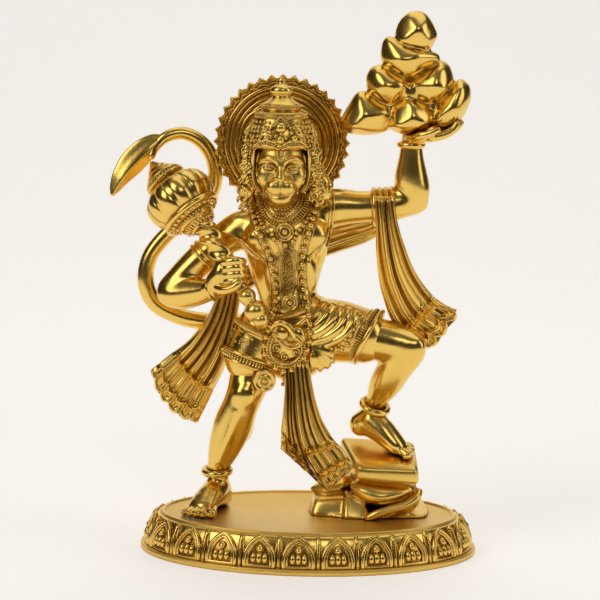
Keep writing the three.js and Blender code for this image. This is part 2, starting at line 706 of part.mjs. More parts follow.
function jewellery() {
  const choker = hoop([-5.9, 1.4, 61.6], [0, 0.35, 1], [3.2, 3.2], 0.7, 10);
  const collar = limb([
    [-12.6, 0, 61.4, 0.9],
    [-10.2, -2.2, 59, 1.1],
    [-5.7, -3.7, 57, 1.3],
    [-1.4, -2.2, 59.2, 1.1],
    [0.8, 0, 61.6, 0.9],
  ], { sides: 5 });
  const medal = ball([-5.7, -4.6, 57], [1.8, 0.9, 1.8]);
  const loop = Array.from({ length: 9 }, (_, index) => {
    const angle = Math.PI * (1 + index / 8);
    return [-5.3 + 4.6 * Math.cos(angle), -5.2, 34.6 + 4.9 * Math.sin(angle)];
  });
  const rightString = [
    [-13, -0.6, 61.6], [-11.6, -2.8, 58.4], [-10.2, -3.5, 55.2], [-8.9, -3.4, 51.3],
    [-8.1, -3.3, 47.4], [-7.8, -3.9, 43.5], [-8.2, -4.9, 39.6],
  ];
  const leftString = [
    [1.2, -0.6, 61.4], [-0.4, -3, 57.7], [-1.5, -3.5, 53.4], [-2, -3.3, 49.5],
    [-2.1, -3.3, 45.5], [-1.3, -4.4, 41.7], [-0.9, -5.2, 37],
  ];
  const strings = [rightString, leftString, loop].map((points) => beadString(points, 2.2, 0.9));
  const knot = [ball([-5, -6, 38.4], [2, 1.3, 1.4]), ball([-3.4, -6.2, 36.6], [1.6, 1.3, 1.8])];
  return [choker, collar, medal, strings, knot];
}

function mountain() {
  return [
    boulder([19.2, 0.2, 95.5], [4.2, 4, 4.4], 0.4),
    boulder([18, 0.2, 90.6], [5.8, 5, 3.9], 1.7),
    boulder([13.8, 0.6, 85.6], [4.4, 5.4, 4.2], 2.9),
    boulder([21.8, 0.6, 85.8], [4.6, 5.4, 4.6], 4.1),
    boulder([18, 2.4, 85], [4.2, 4.4, 4.2], 5.3),
    boulder([11.2, -0.6, 80.4], [4.2, 4.4, 3.7], 0.9),
    boulder([7.4, 0.8, 79], [3, 3.4, 2.2], 3.6),
    boulder([18.6, -2.6, 80], [4.6, 4, 3.4], 2.2),
    boulder([25.8, -0.4, 82], [4.2, 4.6, 4.5], 4.8),
    boulder([21.6, 3.6, 80.8], [5.2, 4.4, 3.8], 1.2),
    boulder([14.2, 4, 80.4], [5, 4, 3.6], 3.1),
  ];
}

function rock() {
  const topSlab = slab([
    [5.6, 6.6, 14.6], [21.4, 6.6, 13.2], [22.4, -4.4, 10.7], [20.8, -5.7, 10.6], [10.2, -5.7, 10.8],
    [6.2, 6.2, 9], [21.8, 6.2, 7.6], [22.8, -4.6, 7.4], [21, -5.4, 6.9], [9.4, -5.4, 7.6],
  ]);
  const middle = slab([
    [7, 6, 9.4], [20.8, 6, 9], [22, -3.4, 8], [19, -5, 8], [10, -4.6, 8.4],
    [6, 7, 3], [21, 7.4, 2.6], [23, -2, 3], [17.4, -5.6, 3.6], [8.4, -4.4, 3.6],
  ]);
  const foot = slab([
    [2.6, 8, 3.2], [22.6, 8.4, 3.6], [24, 0.6, 2.4],
    [22.2, -4.6, 2.2], [9.6, -5.4, 3.2], [3.6, -2.4, 3.4],
    [1.4, 9.4, -1], [23.8, 9.6, -1], [25, 0.8, -1],
    [23, -5.4, -1], [7, -6, -1], [1.6, -2.6, -1],
  ]);
  const lobes = [
    boulder([3.2, 3.6, 2.4], [3.2, 4.6, 3], 0.6),
    boulder([7.4, -3.2, 4], [3.4, 2.6, 3.4], 2.4),
    boulder([5.6, 3, 6.6], [3.6, 4.2, 4.2], 4.4),
    boulder([15.4, -4.6, 5.6], [3.6, 1.6, 1.8], 1.4),
  ];
  return [topSlab, middle, foot, lobes];
}

function figure() {
  const parts = [
    trunk(), head(), hair(), crown(), raisedArm(), maceArm(), mace(), tail(),
    standingLeg(), steppingLeg(), dhoti(), cloths(), jewellery(), mountain(), rock(),
  ];
  const standing = joined(parts).scale([share, share, share]).translate([0, 0, fieldHeight]);
  const below = new THREE.BoxGeometry(plinthLength, plinthWidth, plinthHeight * 2);
  below.translate(0, 0, fieldHeight - plinthHeight);
  return standing.subtract(solid(below)).subtract(haloRelief());
}

function piece(name, manifold, roughness) {
  const material = new THREE.MeshStandardMaterial({ ...gilt, roughness });
  const mesh = new THREE.Mesh(geometryOf(manifold), material);
  mesh.name = name;
  return mesh;
}

const model = new THREE.Group();
model.add(piece('plinth', joined([plinthBody(), petals()]), 0.28));
model.add(piece('halo', haloDisc(), 0.2));
model.add(piece('figure', figure(), 0.16));

export default model;
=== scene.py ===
# A gilt cast figure with a mace, lifting a mountain, on an oval plinth with a frieze of petals
import math

import bmesh
import bpy
import numpy as np
from mathutils import Euler, Matrix, Vector


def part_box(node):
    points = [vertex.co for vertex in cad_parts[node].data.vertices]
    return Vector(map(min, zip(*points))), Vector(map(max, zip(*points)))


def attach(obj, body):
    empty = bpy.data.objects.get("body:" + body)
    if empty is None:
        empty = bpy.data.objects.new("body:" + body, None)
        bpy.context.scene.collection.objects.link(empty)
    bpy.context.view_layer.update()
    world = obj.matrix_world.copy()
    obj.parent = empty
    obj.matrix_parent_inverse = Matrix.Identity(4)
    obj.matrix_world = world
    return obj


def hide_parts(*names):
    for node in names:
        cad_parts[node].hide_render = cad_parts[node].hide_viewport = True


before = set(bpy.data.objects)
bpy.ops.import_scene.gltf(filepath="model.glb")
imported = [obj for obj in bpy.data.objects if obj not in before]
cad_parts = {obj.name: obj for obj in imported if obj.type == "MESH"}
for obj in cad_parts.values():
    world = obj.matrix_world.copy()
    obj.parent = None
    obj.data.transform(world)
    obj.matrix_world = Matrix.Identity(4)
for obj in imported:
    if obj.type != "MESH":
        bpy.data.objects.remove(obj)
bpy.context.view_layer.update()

plinthLow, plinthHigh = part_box("plinth")
haloLow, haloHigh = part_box("halo")
figureLow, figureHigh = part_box("figure")

# The figure is modelled in shares, hundredths of its own height, from the plinth's field up
mountainTop = 99.857
field = figureLow.z
share = (figureHigh.z - field) / mountainTop
millimetre = 0.001
towardsViewer = np.array((0.0, -1.0, 0.0))
upwards = np.array((0.0, 0.0, 1.0))


# Smooth curve through rows of numbers, column by column
def smoothRows(rows, steps):
    rows = np.asarray(rows, float)
    padded = np.vstack((rows[:1], rows, rows[-1:]))
    t = np.linspace(0, 1, steps, endpoint=False)[:, None]
    fine = []
    for before, start, end, after in zip(padded, padded[1:], padded[2:], padded[3:]):
        bend = 2 * before - 5 * start + 4 * end - after
        twist = -before + 3 * start - 3 * end + after
        fine.append(0.5 * (2 * start + (end - before) * t + bend * t ** 2 + twist * t ** 3))
    return np.vstack(fine + [rows[-1:]])


# Rows of four numbers are round: their half depth is their half width
def fullRows(stations):
    return [tuple(row) + (row[3],) if len(row) == 4 else tuple(row) for row in stations]


# Points at an even pitch along a line
def evenly(points, pitch):
    points = np.asarray(points, float)
    steps = np.linalg.norm(np.diff(points, axis=0), axis=1)
    length = np.concatenate(([0], np.cumsum(steps)))
    count = max(int(round(length[-1] / pitch)), 2)
    wanted = np.linspace(0, length[-1], count + 1)
    return np.stack([np.interp(wanted, length, points[:, k]) for k in range(points.shape[1])], 1)


# A line's points at given parts of its length
def alongLine(points, parts):
    place = np.linspace(0, 1, len(points))
    return np.stack([np.interp(parts, place, column) for column in points.T], 1)


def unit(vector):
    return vector / np.linalg.norm(vector, axis=-1, keepdims=True)


def ramp(value, low, high):
    t = np.clip((value - low) / (high - low), 0, 1)
    return t * t * (3 - 2 * t)


def bump(value, centre, width):
    return np.exp(-((value - centre) / width) ** 2)


# Shells: (points, quads, triangles) in shares, turned so that their faces look outwards
def volumeOf(points, faces):
    if len(faces) == 0:
        return 0
    a, b, c, d = (points[faces[:, k]] for k in (0, 1, 2, -1))
    return np.einsum("ij,ij->", np.cross(a, b), c) + np.einsum("ij,ij->", np.cross(a, c), d)


def shell(points, quads, triangles=()):
    points = np.asarray(points, float)
    quads = np.asarray(quads, int).reshape(-1, 4)
    triangles = np.asarray(triangles, int).reshape(-1, 3)
    middle = points.mean(0)
    if volumeOf(points - middle, quads) + volumeOf(points - middle, triangles) < 0:
        quads, triangles = quads[:, ::-1], triangles[:, ::-1]
    return points, quads, triangles


def lofted(rings, startPoint=None, endPoint=None):
    rings = np.asarray(rings, float)
    count, sides = rings.shape[:2]
    index = np.arange(count * sides).reshape(count, sides)
    beside = np.roll(index, -1, axis=1)
    quads = np.stack((index[:-1], beside[:-1], beside[1:], index[1:]), -1).reshape(-1, 4)
    startPoint = rings[0].mean(0) if startPoint is None else startPoint
    endPoint = rings[-1].mean(0) if endPoint is None else endPoint
    points = np.vstack((rings.reshape(-1, 3), startPoint, endPoint))
    first, last = len(points) - 2, len(points) - 1
    startFan = np.stack((np.full(sides, first), beside[0], index[0]), 1)
    endFan = np.stack((np.full(sides, last), index[-1], beside[-1]), 1)
    return shell(points, quads, np.vstack((startFan, endFan)))


# Body of changing oval section along stations [x, y, z, half width, half depth]
def swept(stations, sides=24, steps=6, facing=towardsViewer, domes=(1, 1), section=None):
    rows = smoothRows(fullRows(stations), steps)
    centres, sizes = rows[:, :3], rows[:, 3:]
    along = unit(np.gradient(centres, axis=0))
    deep = unit(facing - (along @ facing)[:, None] * along)
    wide = np.cross(deep, along)
    angle = np.arange(sides) / sides * 2 * math.pi
    progress = np.linspace(0, 1, len(rows))

    def ring(row, shift, size):
        reach = size * (section(angle, progress[row]) if section else np.ones(sides))
        across = np.outer(np.cos(angle) * reach * sizes[row, 0], wide[row])
        through = np.outer(np.sin(angle) * reach * sizes[row, 1], deep[row])
        return centres[row] + shift * along[row] + across + through

    turns = np.radians((75, 55, 30))
    low, high = sizes[0, 0] * domes[0], sizes[-1, 0] * domes[1]
    startDome = [ring(0, -low * math.sin(turn), math.cos(turn)) for turn in turns]
    endDome = [ring(-1, high * math.sin(turn), math.cos(turn)) for turn in turns[::-1]]
    trunk = [ring(row, 0, 1) for row in range(len(rows))]
    rings = startDome * bool(domes[0]) + trunk + endDome * bool(domes[1])
    start = centres[0] - along[0] * sizes[0, 0] * domes[0]
    end = centres[-1] + along[-1] * sizes[-1, 0] * domes[1]
    return lofted(rings, start, end)


def framed(axis):
    axis = unit(np.asarray(axis, float))
    helper = np.array((0, 1.0, 0)) if abs(axis[1]) < 0.9 else upwards
    across = unit(np.cross(helper, axis))
    return axis, across, np.cross(axis, across)


# Turned shape about an axis that starts at centre, from a profile of (radius, height)
def turned(centre, axis, profile, sides=48):
    axis, across, other = framed(axis)
    angle = np.arange(sides) / sides * 2 * math.pi
    circle = np.outer(np.cos(angle), across) + np.outer(np.sin(angle), other)
    rings = [np.asarray(centre) + radius * circle + height * axis for radius, height in profile]
    start = np.asarray(centre) + profile[0][1] * axis
    end = np.asarray(centre) + profile[-1][1] * axis
    return lofted(rings, start, end)


# Band of round section about a limb, closed on itself
def band(centre, axis, radii, thickness, sides=72, around=12):
    axis, across, other = framed(axis)
    small = np.arange(around) / around * 2 * math.pi
    points = []
    for turn in np.arange(sides) / sides * 2 * math.pi:
        outward = math.cos(turn) * across * radii[0] + math.sin(turn) * other * radii[1]
        ring = np.outer(np.cos(small), unit(outward)) + np.outer(np.sin(small), axis)
        points.append(np.asarray(centre) + outward + thickness * ring)
    index = np.arange(sides * around).reshape(sides, around)
    right, up = np.roll(index, -1, axis=0), np.roll(index, -1, axis=1)
    quads = np.stack((index, up, np.roll(right, -1, axis=1), right), -1).reshape(-1, 4)
    return shell(np.vstack(points), quads)


# Pleated cloth between two edges: u runs across it, v down it, and relief(u, v) is worked on its face
def pleated(leftEdge, rightEdge, look, relief=None):
    columns, rows = look["columns"], look["rows"]
    v = np.linspace(0, 1, rows)
    v = v + 0.12 * np.sin(math.pi * v)  # rows crowd towards the lower edge
    left, right = (alongLine(evenly(smoothRows(line, 8), 0.2), v) for line in (leftEdge, rightEdge))
    u = np.linspace(0, 1, columns)
    across = u[None, :, None]
    base = left[:, None] * (1 - across) + right[:, None] * across
    beat = look["flutes"] * (u[None, :] + look.get("shift", 0))
    beat = beat + look.get("drift", 0) * np.sin(11 * u[None, :] + 3 * v[:, None])
    wave = np.abs(np.sin(math.pi * beat)) ** look.get("sharp", 0.8)
    grow = look.get("top", 0.5) + (1 - look.get("top", 0.5)) * ramp(v, 0, 0.5)
    flat = 1 - 0.75 * ramp(v, look.get("hem", 2), look.get("hem", 2) + 0.05)
    lift = look["pleat"] * (grow * flat)[:, None] * wave
    part = beat % 1
    grooves = bump(part, 0.32, 0.05) + bump(part, 0.68, 0.05)
    lift = lift - look.get("fine", 0) * grooves * np.clip(2 * flat - 1, 0, 1)[:, None]
    if relief:
        lift = lift + relief(u[None, :], v[:, None])
    thinSides = np.sqrt(np.clip(1 - (2 * u - 1) ** 10, 0, 1))
    thinEnds = np.sqrt(np.clip(1 - (2 * v - 1) ** 24, 0, 1))
    edge = thinSides[None, :] * thinEnds[:, None]
    down = unit(left[-1] + right[-1] - left[-2] - right[-2])
    hang = look.get("scallop", 0) * np.abs(np.cos(math.pi * beat)) ** 0.8 * ramp(v, 0.8, 1)[:, None]
    hang = hang + look.get("bulge", 0) * np.sin(math.pi * u) ** 0.6 * ramp(v, 0.4, 1)[:, None]
    base = base + hang[..., None] * down
    thick = look["thickness"] / 2 * edge
    face = base + (thick + lift * edge)[..., None] * towardsViewer
    # The back follows the folds less deeply than the face
    back = base - (thick - 0.6 * lift * edge)[..., None] * towardsViewer
    rings = np.concatenate((face[:, ::-1], back), axis=1)
    return lofted(rings, base[0].mean(0), base[-1].mean(0))


# Modelling clay: signed distances on a grid, in shares, pressed into shape and then skinned
class Clay:
    def __init__(self, low, high, grain):
        self.low = np.array(low, float)
        self.grain = grain
        self.count = np.ceil((np.array(high) - self.low) / grain).astype(int) + 1
        self.field = np.full(self.count, 3.0, np.float32)

    def window(self, low, high):
        start = np.floor((np.asarray(low) - self.low) / self.grain).astype(int)
        stop = np.ceil((np.asarray(high) - self.low) / self.grain).astype(int) + 1
        return np.clip(start, 0, self.count), np.clip(stop, 0, self.count)

    def spots(self, start, stop):
        axes = [(self.low[k] + self.grain * np.arange(start[k], stop[k])).astype(np.float32)
                for k in range(3)]
        return axes[0][:, None, None], axes[1][None, :, None], axes[2][None, None, :]

    def press(self, start, stop, distance, blend, carve=False):
        part = tuple(map(slice, start, stop))
        old = self.field[part]
        if carve:
            h = np.clip(0.5 - 0.5 * (old + distance) / blend, 0, 1)
            self.field[part] = old * (1 - h) - distance * h + blend * h * (1 - h)
        else:
            h = np.clip(0.5 + 0.5 * (old - distance) / blend, 0, 1)
            self.field[part] = old * (1 - h) + distance * h - blend * h * (1 - h)

    # A roll of clay through stations [x, y, z, half width, half depth]
    def rod(self, stations, blend=0.6, steps=5, facing=towardsViewer, carve=False):
        rows = smoothRows(fullRows(stations), steps)
        margin = blend + 2 * self.grain
        reach = rows[:, 3:].max(1)[:, None] + margin
        start, stop = self.window((rows[:, :3] - reach).min(0), (rows[:, :3] + reach).max(0))
        if (stop <= start).any():
            return
        local = np.full(stop - start, 9.0, np.float32)
        for a, b in zip(rows, rows[1:]):
            span = max(a[3:].max(), b[3:].max()) + margin
            begin, end = self.window(np.minimum(a, b)[:3] - span, np.maximum(a, b)[:3] + span)
            begin, end = np.maximum(begin, start), np.minimum(end, stop)
            if (end <= begin).any():
                continue
            part = tuple(slice(p - s, q - s) for p, q, s in zip(begin, end, start))
            local[part] = np.minimum(local[part], rodDistance(self.spots(begin, end), a, b, facing))
        self.press(start, stop, local, blend, carve)

    # A roll of clay laid along given points
    def rollAlong(self, line, size, blend, steps=5, carve=False):
        self.rod(np.column_stack((line, np.broadcast_to(size, len(line)))), blend, steps, carve=carve)

    def ball(self, centre, radii, blend=0.6, tilt=(0, 0, 0), carve=False):
        centre, radii = np.asarray(centre, float), np.asarray(radii, float)
        reach = radii.max() + blend + 2 * self.grain
        start, stop = self.window(centre - reach, centre + reach)
        if (stop <= start).any():
            return
        x, y, z = self.spots(start, stop)
        x, y, z = x - centre[0], y - centre[1], z - centre[2]
        turn = np.array(Euler(np.radians(tilt)).to_matrix()).T.astype(np.float32)
        own = [turn[k, 0] * x + turn[k, 1] * y + turn[k, 2] * z for k in range(3)]
        near = np.sqrt(sum((own[k] / radii[k]) ** 2 for k in range(3)))
        steep = np.sqrt(sum((own[k] / radii[k] ** 2) ** 2 for k in range(3))) + 1e-6
        self.press(start, stop, near * (near - 1) / steep, blend, carve)

    # Smooth stone with flat facets: normals and how far out each facet stands
    def facets(self, centre, reach, normals, offsets, softness, blend):
        centre = np.asarray(centre, float)
        reach = np.asarray(reach, float) + blend + 2 * self.grain
        start, stop = self.window(centre - reach, centre + reach)
        x, y, z = self.spots(start, stop)
        x, y, z = x - centre[0], y - centre[1], z - centre[2]
        total = np.zeros(stop - start, np.float32)
        for normal, offset in zip(normals.astype(np.float32), offsets):
            height = (normal[0] * x + normal[1] * y + normal[2] * z - offset) / softness
            total += np.exp(np.clip(height, -30, 30))
        self.press(start, stop, softness * np.log(total + 1e-12), blend)

    def stone(self, centre, radii, seed, count=13, softness=0.3, blend=0.35):
        random = np.random.default_rng(seed)
        radii = np.asarray(radii, float)
        index = np.arange(count) + 0.5
        height = 1 - 2 * index / count
        turn = index * math.pi * (3 - math.sqrt(5)) + seed
        level = np.sqrt(1 - height ** 2)
        normals = np.stack((level * np.cos(turn), level * np.sin(turn), height), 1)
        normals = unit(normals + random.normal(0, 0.16, normals.shape))
        spread = np.linalg.norm(normals * radii, axis=1)
        offsets = spread * random.uniform(0.74, 0.98, count)
        self.facets(centre, radii * 1.3, normals, offsets, softness, blend)

    def block(self, corners, softness=0.3, blend=0.3):
        corners = np.asarray(corners, float)
        centre = corners.mean(0)
        hull = bmesh.new()
        for corner in corners - centre:
            hull.verts.new(corner)
        bmesh.ops.convex_hull(hull, input=hull.verts)
        hull.normal_update()
        normals = np.array([face.normal for face in hull.faces])
        offsets = np.array([face.normal.dot(face.verts[0].co) for face in hull.faces])
        hull.free()
        facing = np.sign(offsets)[:, None]
        normals, offsets = normals * facing, np.abs(offsets)
        kept = np.unique(np.round(np.column_stack((normals, offsets)), 3), axis=0)
        reach = np.abs(corners - centre).max(0) + 0.5
        self.facets(centre, reach, kept[:, :3], kept[:, 3], softness, blend)

    def floor(self, height):
        z = self.spots((0, 0, 0), self.count)[2]
        self.field = np.maximum(self.field, height - z)

    # Evens out the clay, as a wet sponge would
    def soften(self, rounds=1):
        for axis in list(range(3)) * rounds:
            ends = self.field.take([0], axis), self.field.take([-1], axis)
            padded = np.concatenate((ends[0], self.field, ends[1]), axis)
            count = self.field.shape[axis]
            low, middle, high = (np.take(padded, range(k, count + k), axis) for k in range(3))
            self.field = 0.25 * low + 0.5 * middle + 0.25 * high

    # Depth of the surface at places given as x and z, from the front (way 1) or from behind (way -1)
    def front(self, x, z, way=1):
        i = np.clip(np.round((x - self.low[0]) / self.grain).astype(int), 0, self.count[0] - 1)
        k = np.clip(np.round((z - self.low[2]) / self.grain).astype(int), 0, self.count[2] - 1)
        column = self.field[i, ::way, k]
        first = np.clip((column < 0).argmax(1), 1, None)
        rows = np.arange(len(first))
        a, b = column[rows, first - 1], column[rows, first]
        nearest = self.low[1] if way > 0 else self.low[1] + self.grain * (self.count[1] - 1)
        depth = nearest + way * self.grain * (first - 1 + a / (a - b + 1e-9))
        return np.where((column < 0).any(1), depth, way * np.inf)

    # Distances at any points, from the eight grid places about each
    def sample(self, points):
        place = np.clip((points - self.low) / self.grain, 0, self.count - 1.001)
        base = place.astype(int)
        part = (place - base).astype(np.float32)
        total = np.zeros(len(points), np.float32)
        for corner in np.ndindex(2, 2, 2):
            near = np.abs(1 - np.array(corner, np.float32) - part)
            total += near[:, 0] * near[:, 1] * near[:, 2] * self.field[tuple((base + corner).T)]
        return total

    # Surface nets: one point in each cell that the surface crosses, joined across each crossed edge
    def skin(self, relaxes=2):
        for axis in range(3):
            for side in (0, -1):
                wall = tuple(side if k == axis else slice(None) for k in range(3))
                self.field[wall] = np.maximum(self.field[wall], 0.5 * self.grain)
        inside = self.field < 0
        size = np.array(self.field.shape) - 1
        corners = [np.array(corner) for corner in np.ndindex(2, 2, 2)]
        filled = np.zeros(size, np.int8)
        for corner in corners:
            filled += inside[tuple(slice(start, start + length) for start, length in zip(corner, size))]
        cells = np.argwhere((filled > 0) & (filled < 8))
        values = [self.field[tuple((cells + c).T)] for c in corners]
        total = np.zeros((len(cells), 3))
        hits = np.zeros(len(cells))
        for a in range(8):
            for b in range(a + 1, 8):
                if np.abs(corners[a] - corners[b]).sum() != 1:
                    continue
                crossed = (values[a] < 0) != (values[b] < 0)
                t = np.where(crossed, values[a] / (values[a] - values[b] + 1e-12), 0)
                total += crossed[:, None] * (corners[a] + t[:, None] * (corners[b] - corners[a]))
                hits += crossed
        number = np.full(size, -1, np.int64)
        number[tuple(cells.T)] = np.arange(len(cells))
        quads = []
        for axis in range(3):
            step = np.eye(3, dtype=int)
            u, v = step[(axis + 1) % 3], step[(axis + 2) % 3]
            low = tuple(slice(0, -1) if k == axis else slice(None) for k in range(3))
            high = tuple(slice(1, None) if k == axis else slice(None) for k in range(3))
            nodes = np.argwhere(inside[low] != inside[high])
            four = np.stack([number[tuple((nodes - shift).T)] for shift in (0 * u, u, u + v, v)], 1)
            starts = inside[tuple(nodes.T)]
            four[~starts] = four[~starts][:, ::-1]
            quads.append(four)
        quads = np.vstack(quads)
        points = self.low + self.grain * (cells + total / hits[:, None])
        ends = np.concatenate((quads.ravel(), np.roll(quads, 1, axis=1).ravel()))
        others = np.concatenate((np.roll(quads, 1, axis=1).ravel(), quads.ravel()))
        shares = np.bincount(ends, minlength=len(points))
        for _ in range(relaxes):
            mean = np.stack([np.bincount(ends, points[others, k], len(points)) for k in range(3)], 1)
            points = 0.4 * points + 0.6 * mean / shares[:, None]
            step = 0.5 * self.grain
            slope = np.stack([self.sample(points + step * axis) - self.sample(points - step * axis)
                              for axis in np.eye(3)], 1) / (2 * step)
            steep = np.maximum((slope ** 2).sum(1), 0.2)
            points = points - slope * (self.sample(points) / steep)[:, None]
        return shell(points, quads)


# Signed distance to a roll between two stations, whose section may be an oval that faces one way
def rodDistance(spots, a, b, facing):
    x, y, z = (spots[k] - np.float32(a[k]) for k in range(3))
    along = b[:3] - a[:3]
    length = max(np.linalg.norm(along), 1e-6)
    along = (along / length).astype(np.float32)
    reach = np.clip((x * along[0] + y * along[1] + z * along[2]) / np.float32(length), 0, 1)
    x, y, z = (value - reach * np.float32(length) * part for value, part in zip((x, y, z), along))
    wide = (a[3] + reach * (b[3] - a[3])).astype(np.float32)
    squared = x * x + y * y + z * z
    if a[3] == a[4] and b[3] == b[4]:
        return np.sqrt(squared) - wide
    deep = (a[4] + reach * (b[4] - a[4])).astype(np.float32)
    through = unit(facing - (facing @ along) * along).astype(np.float32)
    depth = (x * through[0] + y * through[1] + z * through[2]) ** 2
    aside = np.maximum(squared - depth, 0)
    near = np.sqrt(aside / wide ** 2 + depth / deep ** 2)
    steep = np.sqrt(aside / wide ** 4 + depth / deep ** 4) + 1e-6
    return near * (near - 1) / steep


# Sockets that take part in Python expressions, and the nodes behind them
class Socket:
    def __init__(self, nodes, socket):
        self.nodes = nodes
        self.socket = socket

    def maths(self, operation, first, second):
        return self.nodes.add("ShaderNodeMath", {"operation": operation}, {0: first, 1: second})

    def __add__(self, other):
        return self.maths("ADD", self, other)

    def __radd__(self, other):
        return self.maths("ADD", other, self)

    def __sub__(self, other):
        return self.maths("SUBTRACT", self, other)

    def __rsub__(self, other):
        return self.maths("SUBTRACT", other, self)

    def __mul__(self, other):
        return self.maths("MULTIPLY", self, other)

    def __rmul__(self, other):
        return self.maths("MULTIPLY", other, self)


class Nodes:
    def __init__(self, tree):
        self.tree = tree

    def add(self, kind, settings=None, values=None, out=0):
        node = self.tree.nodes.new(kind)
        for name, value in (settings or {}).items():
            if name == "stops":
                stops = node.color_ramp.elements
                for index, (place, level) in enumerate(value):
                    stop = stops[index] if index < len(stops) else stops.new(place)
                    stop.position = place
                    stop.color = level if isinstance(level, tuple) else (level, level, level, 1)
            else:
                setattr(node, name, value)
        for name, value in (values or {}).items():
            if isinstance(value, Socket):
                self.tree.links.new(value.socket, node.inputs[name])
            else:
                node.inputs[name].default_value = value
        return Socket(self, node.outputs[out]) if node.outputs else node

    def mixed(self, factor, first, second):
        return self.add("ShaderNodeMix", {"data_type": "RGBA"}, {0: factor, 6: first, 7: second}, 2)

    def noise(self, place, scale, detail):
        return self.add("ShaderNodeTexNoise", None, {"Vector": place, "Scale": scale, "Detail": detail})


print("finishes")

# Gold colours: bright and deep vary at random over the plate; the darkest is painted into hollows and
# creases as shade, and is also the colour of random tarnish; recess is how far the painted shade in a
# recess reaches, in metres
gold = {
    "bright": (0.92, 0.625, 0.155, 1),
    "deep": (0.81, 0.49, 0.085, 1),
    "shadeAndTarnish": (0.28, 0.115, 0.008, 1),
    "recess": 0.0011, "cloudScale": 160.0, "driftScale": 55.0, "drift": 0.0012,
}


# Gold plate: painted shade makes it deeper in colour in its hollows and creases, which are also duller,
# with the unevenness of a polished casting
def goldFinish(name, roughness, unevenness, grainSize, grainDepth, tarnish=0.0, shade=0.8):
    material = bpy.data.materials.new(name)
    material.use_nodes = True
    nodes = Nodes(material.node_tree)
    shader = material.node_tree.nodes["Principled BSDF"]
    place = nodes.add("ShaderNodeTexCoord", out="Object")
    # Painted shade: concave creases (low pointiness) and occluded recesses (ambient occlusion) are marked
    # for darkening
    sharpness = nodes.add("ShaderNodeNewGeometry", out="Pointiness")
    edge = nodes.add("ShaderNodeValToRGB", {"stops": [(0.40, 1), (0.50, 0)]}, {0: sharpness})
    reach = {"Distance": gold["recess"]}
    exposed = nodes.add("ShaderNodeAmbientOcclusion", {"samples": 4}, reach, "AO")
    closed = nodes.add("ShaderNodeValToRGB", {"stops": [(0.30, 1), (0.82, 0)]}, {0: exposed})
    hollowShade = edge * 0.3 + closed * shade
    clouds = nodes.noise(place, gold["cloudScale"], 3.0)
    grain = nodes.noise(place, grainSize, 4.0)
    drift = nodes.noise(place, gold["driftScale"], 1.0)
    plate = nodes.mixed(clouds * 0.35, gold["bright"], gold["deep"])
    # The base colour is mixed towards the dark colour by the painted shade in hollows and creases, and by
    # random tarnish where tarnish is set
    tarnishedAndShadedPlate = nodes.mixed(hollowShade + clouds * tarnish, plate, gold["shadeAndTarnish"])
    dull = clouds * unevenness + hollowShade * 0.12 + roughness
    low = nodes.add("ShaderNodeBump", None, {"Strength": 0.25, "Distance": gold["drift"], "Height": drift})
    pitted = {"Strength": 1.0, "Distance": grainDepth, "Height": grain, "Normal": low}
    fine = nodes.add("ShaderNodeBump", None, pitted)
    shader.inputs["Metallic"].default_value = 1.0
    for socket, value in (("Base Color", tarnishedAndShadedPlate), ("Roughness", dull), ("Normal", fine)):
        material.node_tree.links.new(value.socket, shader.inputs[socket])
    return material


polishedGold = goldFinish("polishedGold", 0.17, 0.10, 900.0, 0.00002)
haloGold = goldFinish("haloGold", 0.16, 0.10, 900.0, 0.00003, 0.0, 0.35)
chasedGold = goldFinish("chasedGold", 0.15, 0.12, 1400.0, 0.00004, 0.0, 0.7)
softGold = goldFinish("softGold", 0.24, 0.10, 900.0, 0.00002)
satinGold = goldFinish("satinGold", 0.33, 0.14, 1500.0, 0.00008)
darkGold = goldFinish("darkGold", 0.22, 0.3, 1300.0, 0.00012, 1.0)


# Shells become one object, in metres, that rides on the body and stands for a node
def meshOf(name, shells, scale=share, origin=(0, 0, field)):
    points = np.vstack([part[0] for part in shells]) * scale + np.asarray(origin)
    shift = np.cumsum([0] + [len(part[0]) for part in shells])
    quads = np.vstack([part[1] + start for part, start in zip(shells, shift)])
    triangles = np.vstack([part[2] + start for part, start in zip(shells, shift)])
    mesh = bpy.data.meshes.new(name)
    mesh.vertices.add(len(points))
    mesh.vertices.foreach_set("co", points.ravel())
    mesh.loops.add(quads.size + triangles.size)
    mesh.loops.foreach_set("vertex_index", np.concatenate((quads.ravel(), triangles.ravel())))
    mesh.polygons.add(len(quads) + len(triangles))
    starts = np.concatenate((np.arange(len(quads)) * 4, quads.size + np.arange(len(triangles)) * 3))
    mesh.polygons.foreach_set("loop_start", starts)
    mesh.update(calc_edges=True)
    mesh.validate()
    mesh.shade_smooth()
    return mesh


def settle(piece, finish, node):
    piece.data.materials.clear()
    piece.data.materials.append(finish)
    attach(piece, "root")
    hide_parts(node)
    faces = sum(len(face.vertices) - 2 for face in piece.data.polygons)
    print("  ", piece.name, faces, "triangles")
    return piece


def intoScene(name, data):
    item = bpy.data.objects.new(name, data)
    bpy.context.scene.collection.objects.link(item)
    return item


def makePiece(name, shells, finish=polishedGold, node="figure", scale=share, origin=(0, 0, field)):
    return settle(intoScene(name, meshOf(name, shells, scale, origin)), finish, node)


# Curves in metres from lines in shares, for the trees below to work on
def curvesObject(name, lines, closed=False):
    curve = bpy.data.curves.new(name, "CURVE")
    curve.dimensions = "3D"
    for line in lines:
        points = np.asarray(line, float) * share + np.array((0, 0, field))
        spline = curve.splines.new("POLY")
        spline.points.add(len(points) - 1)
        spline.points.foreach_set("co", np.column_stack((points, np.ones(len(points)))).ravel())
        spline.use_cyclic_u = closed
    return intoScene(name, curve)


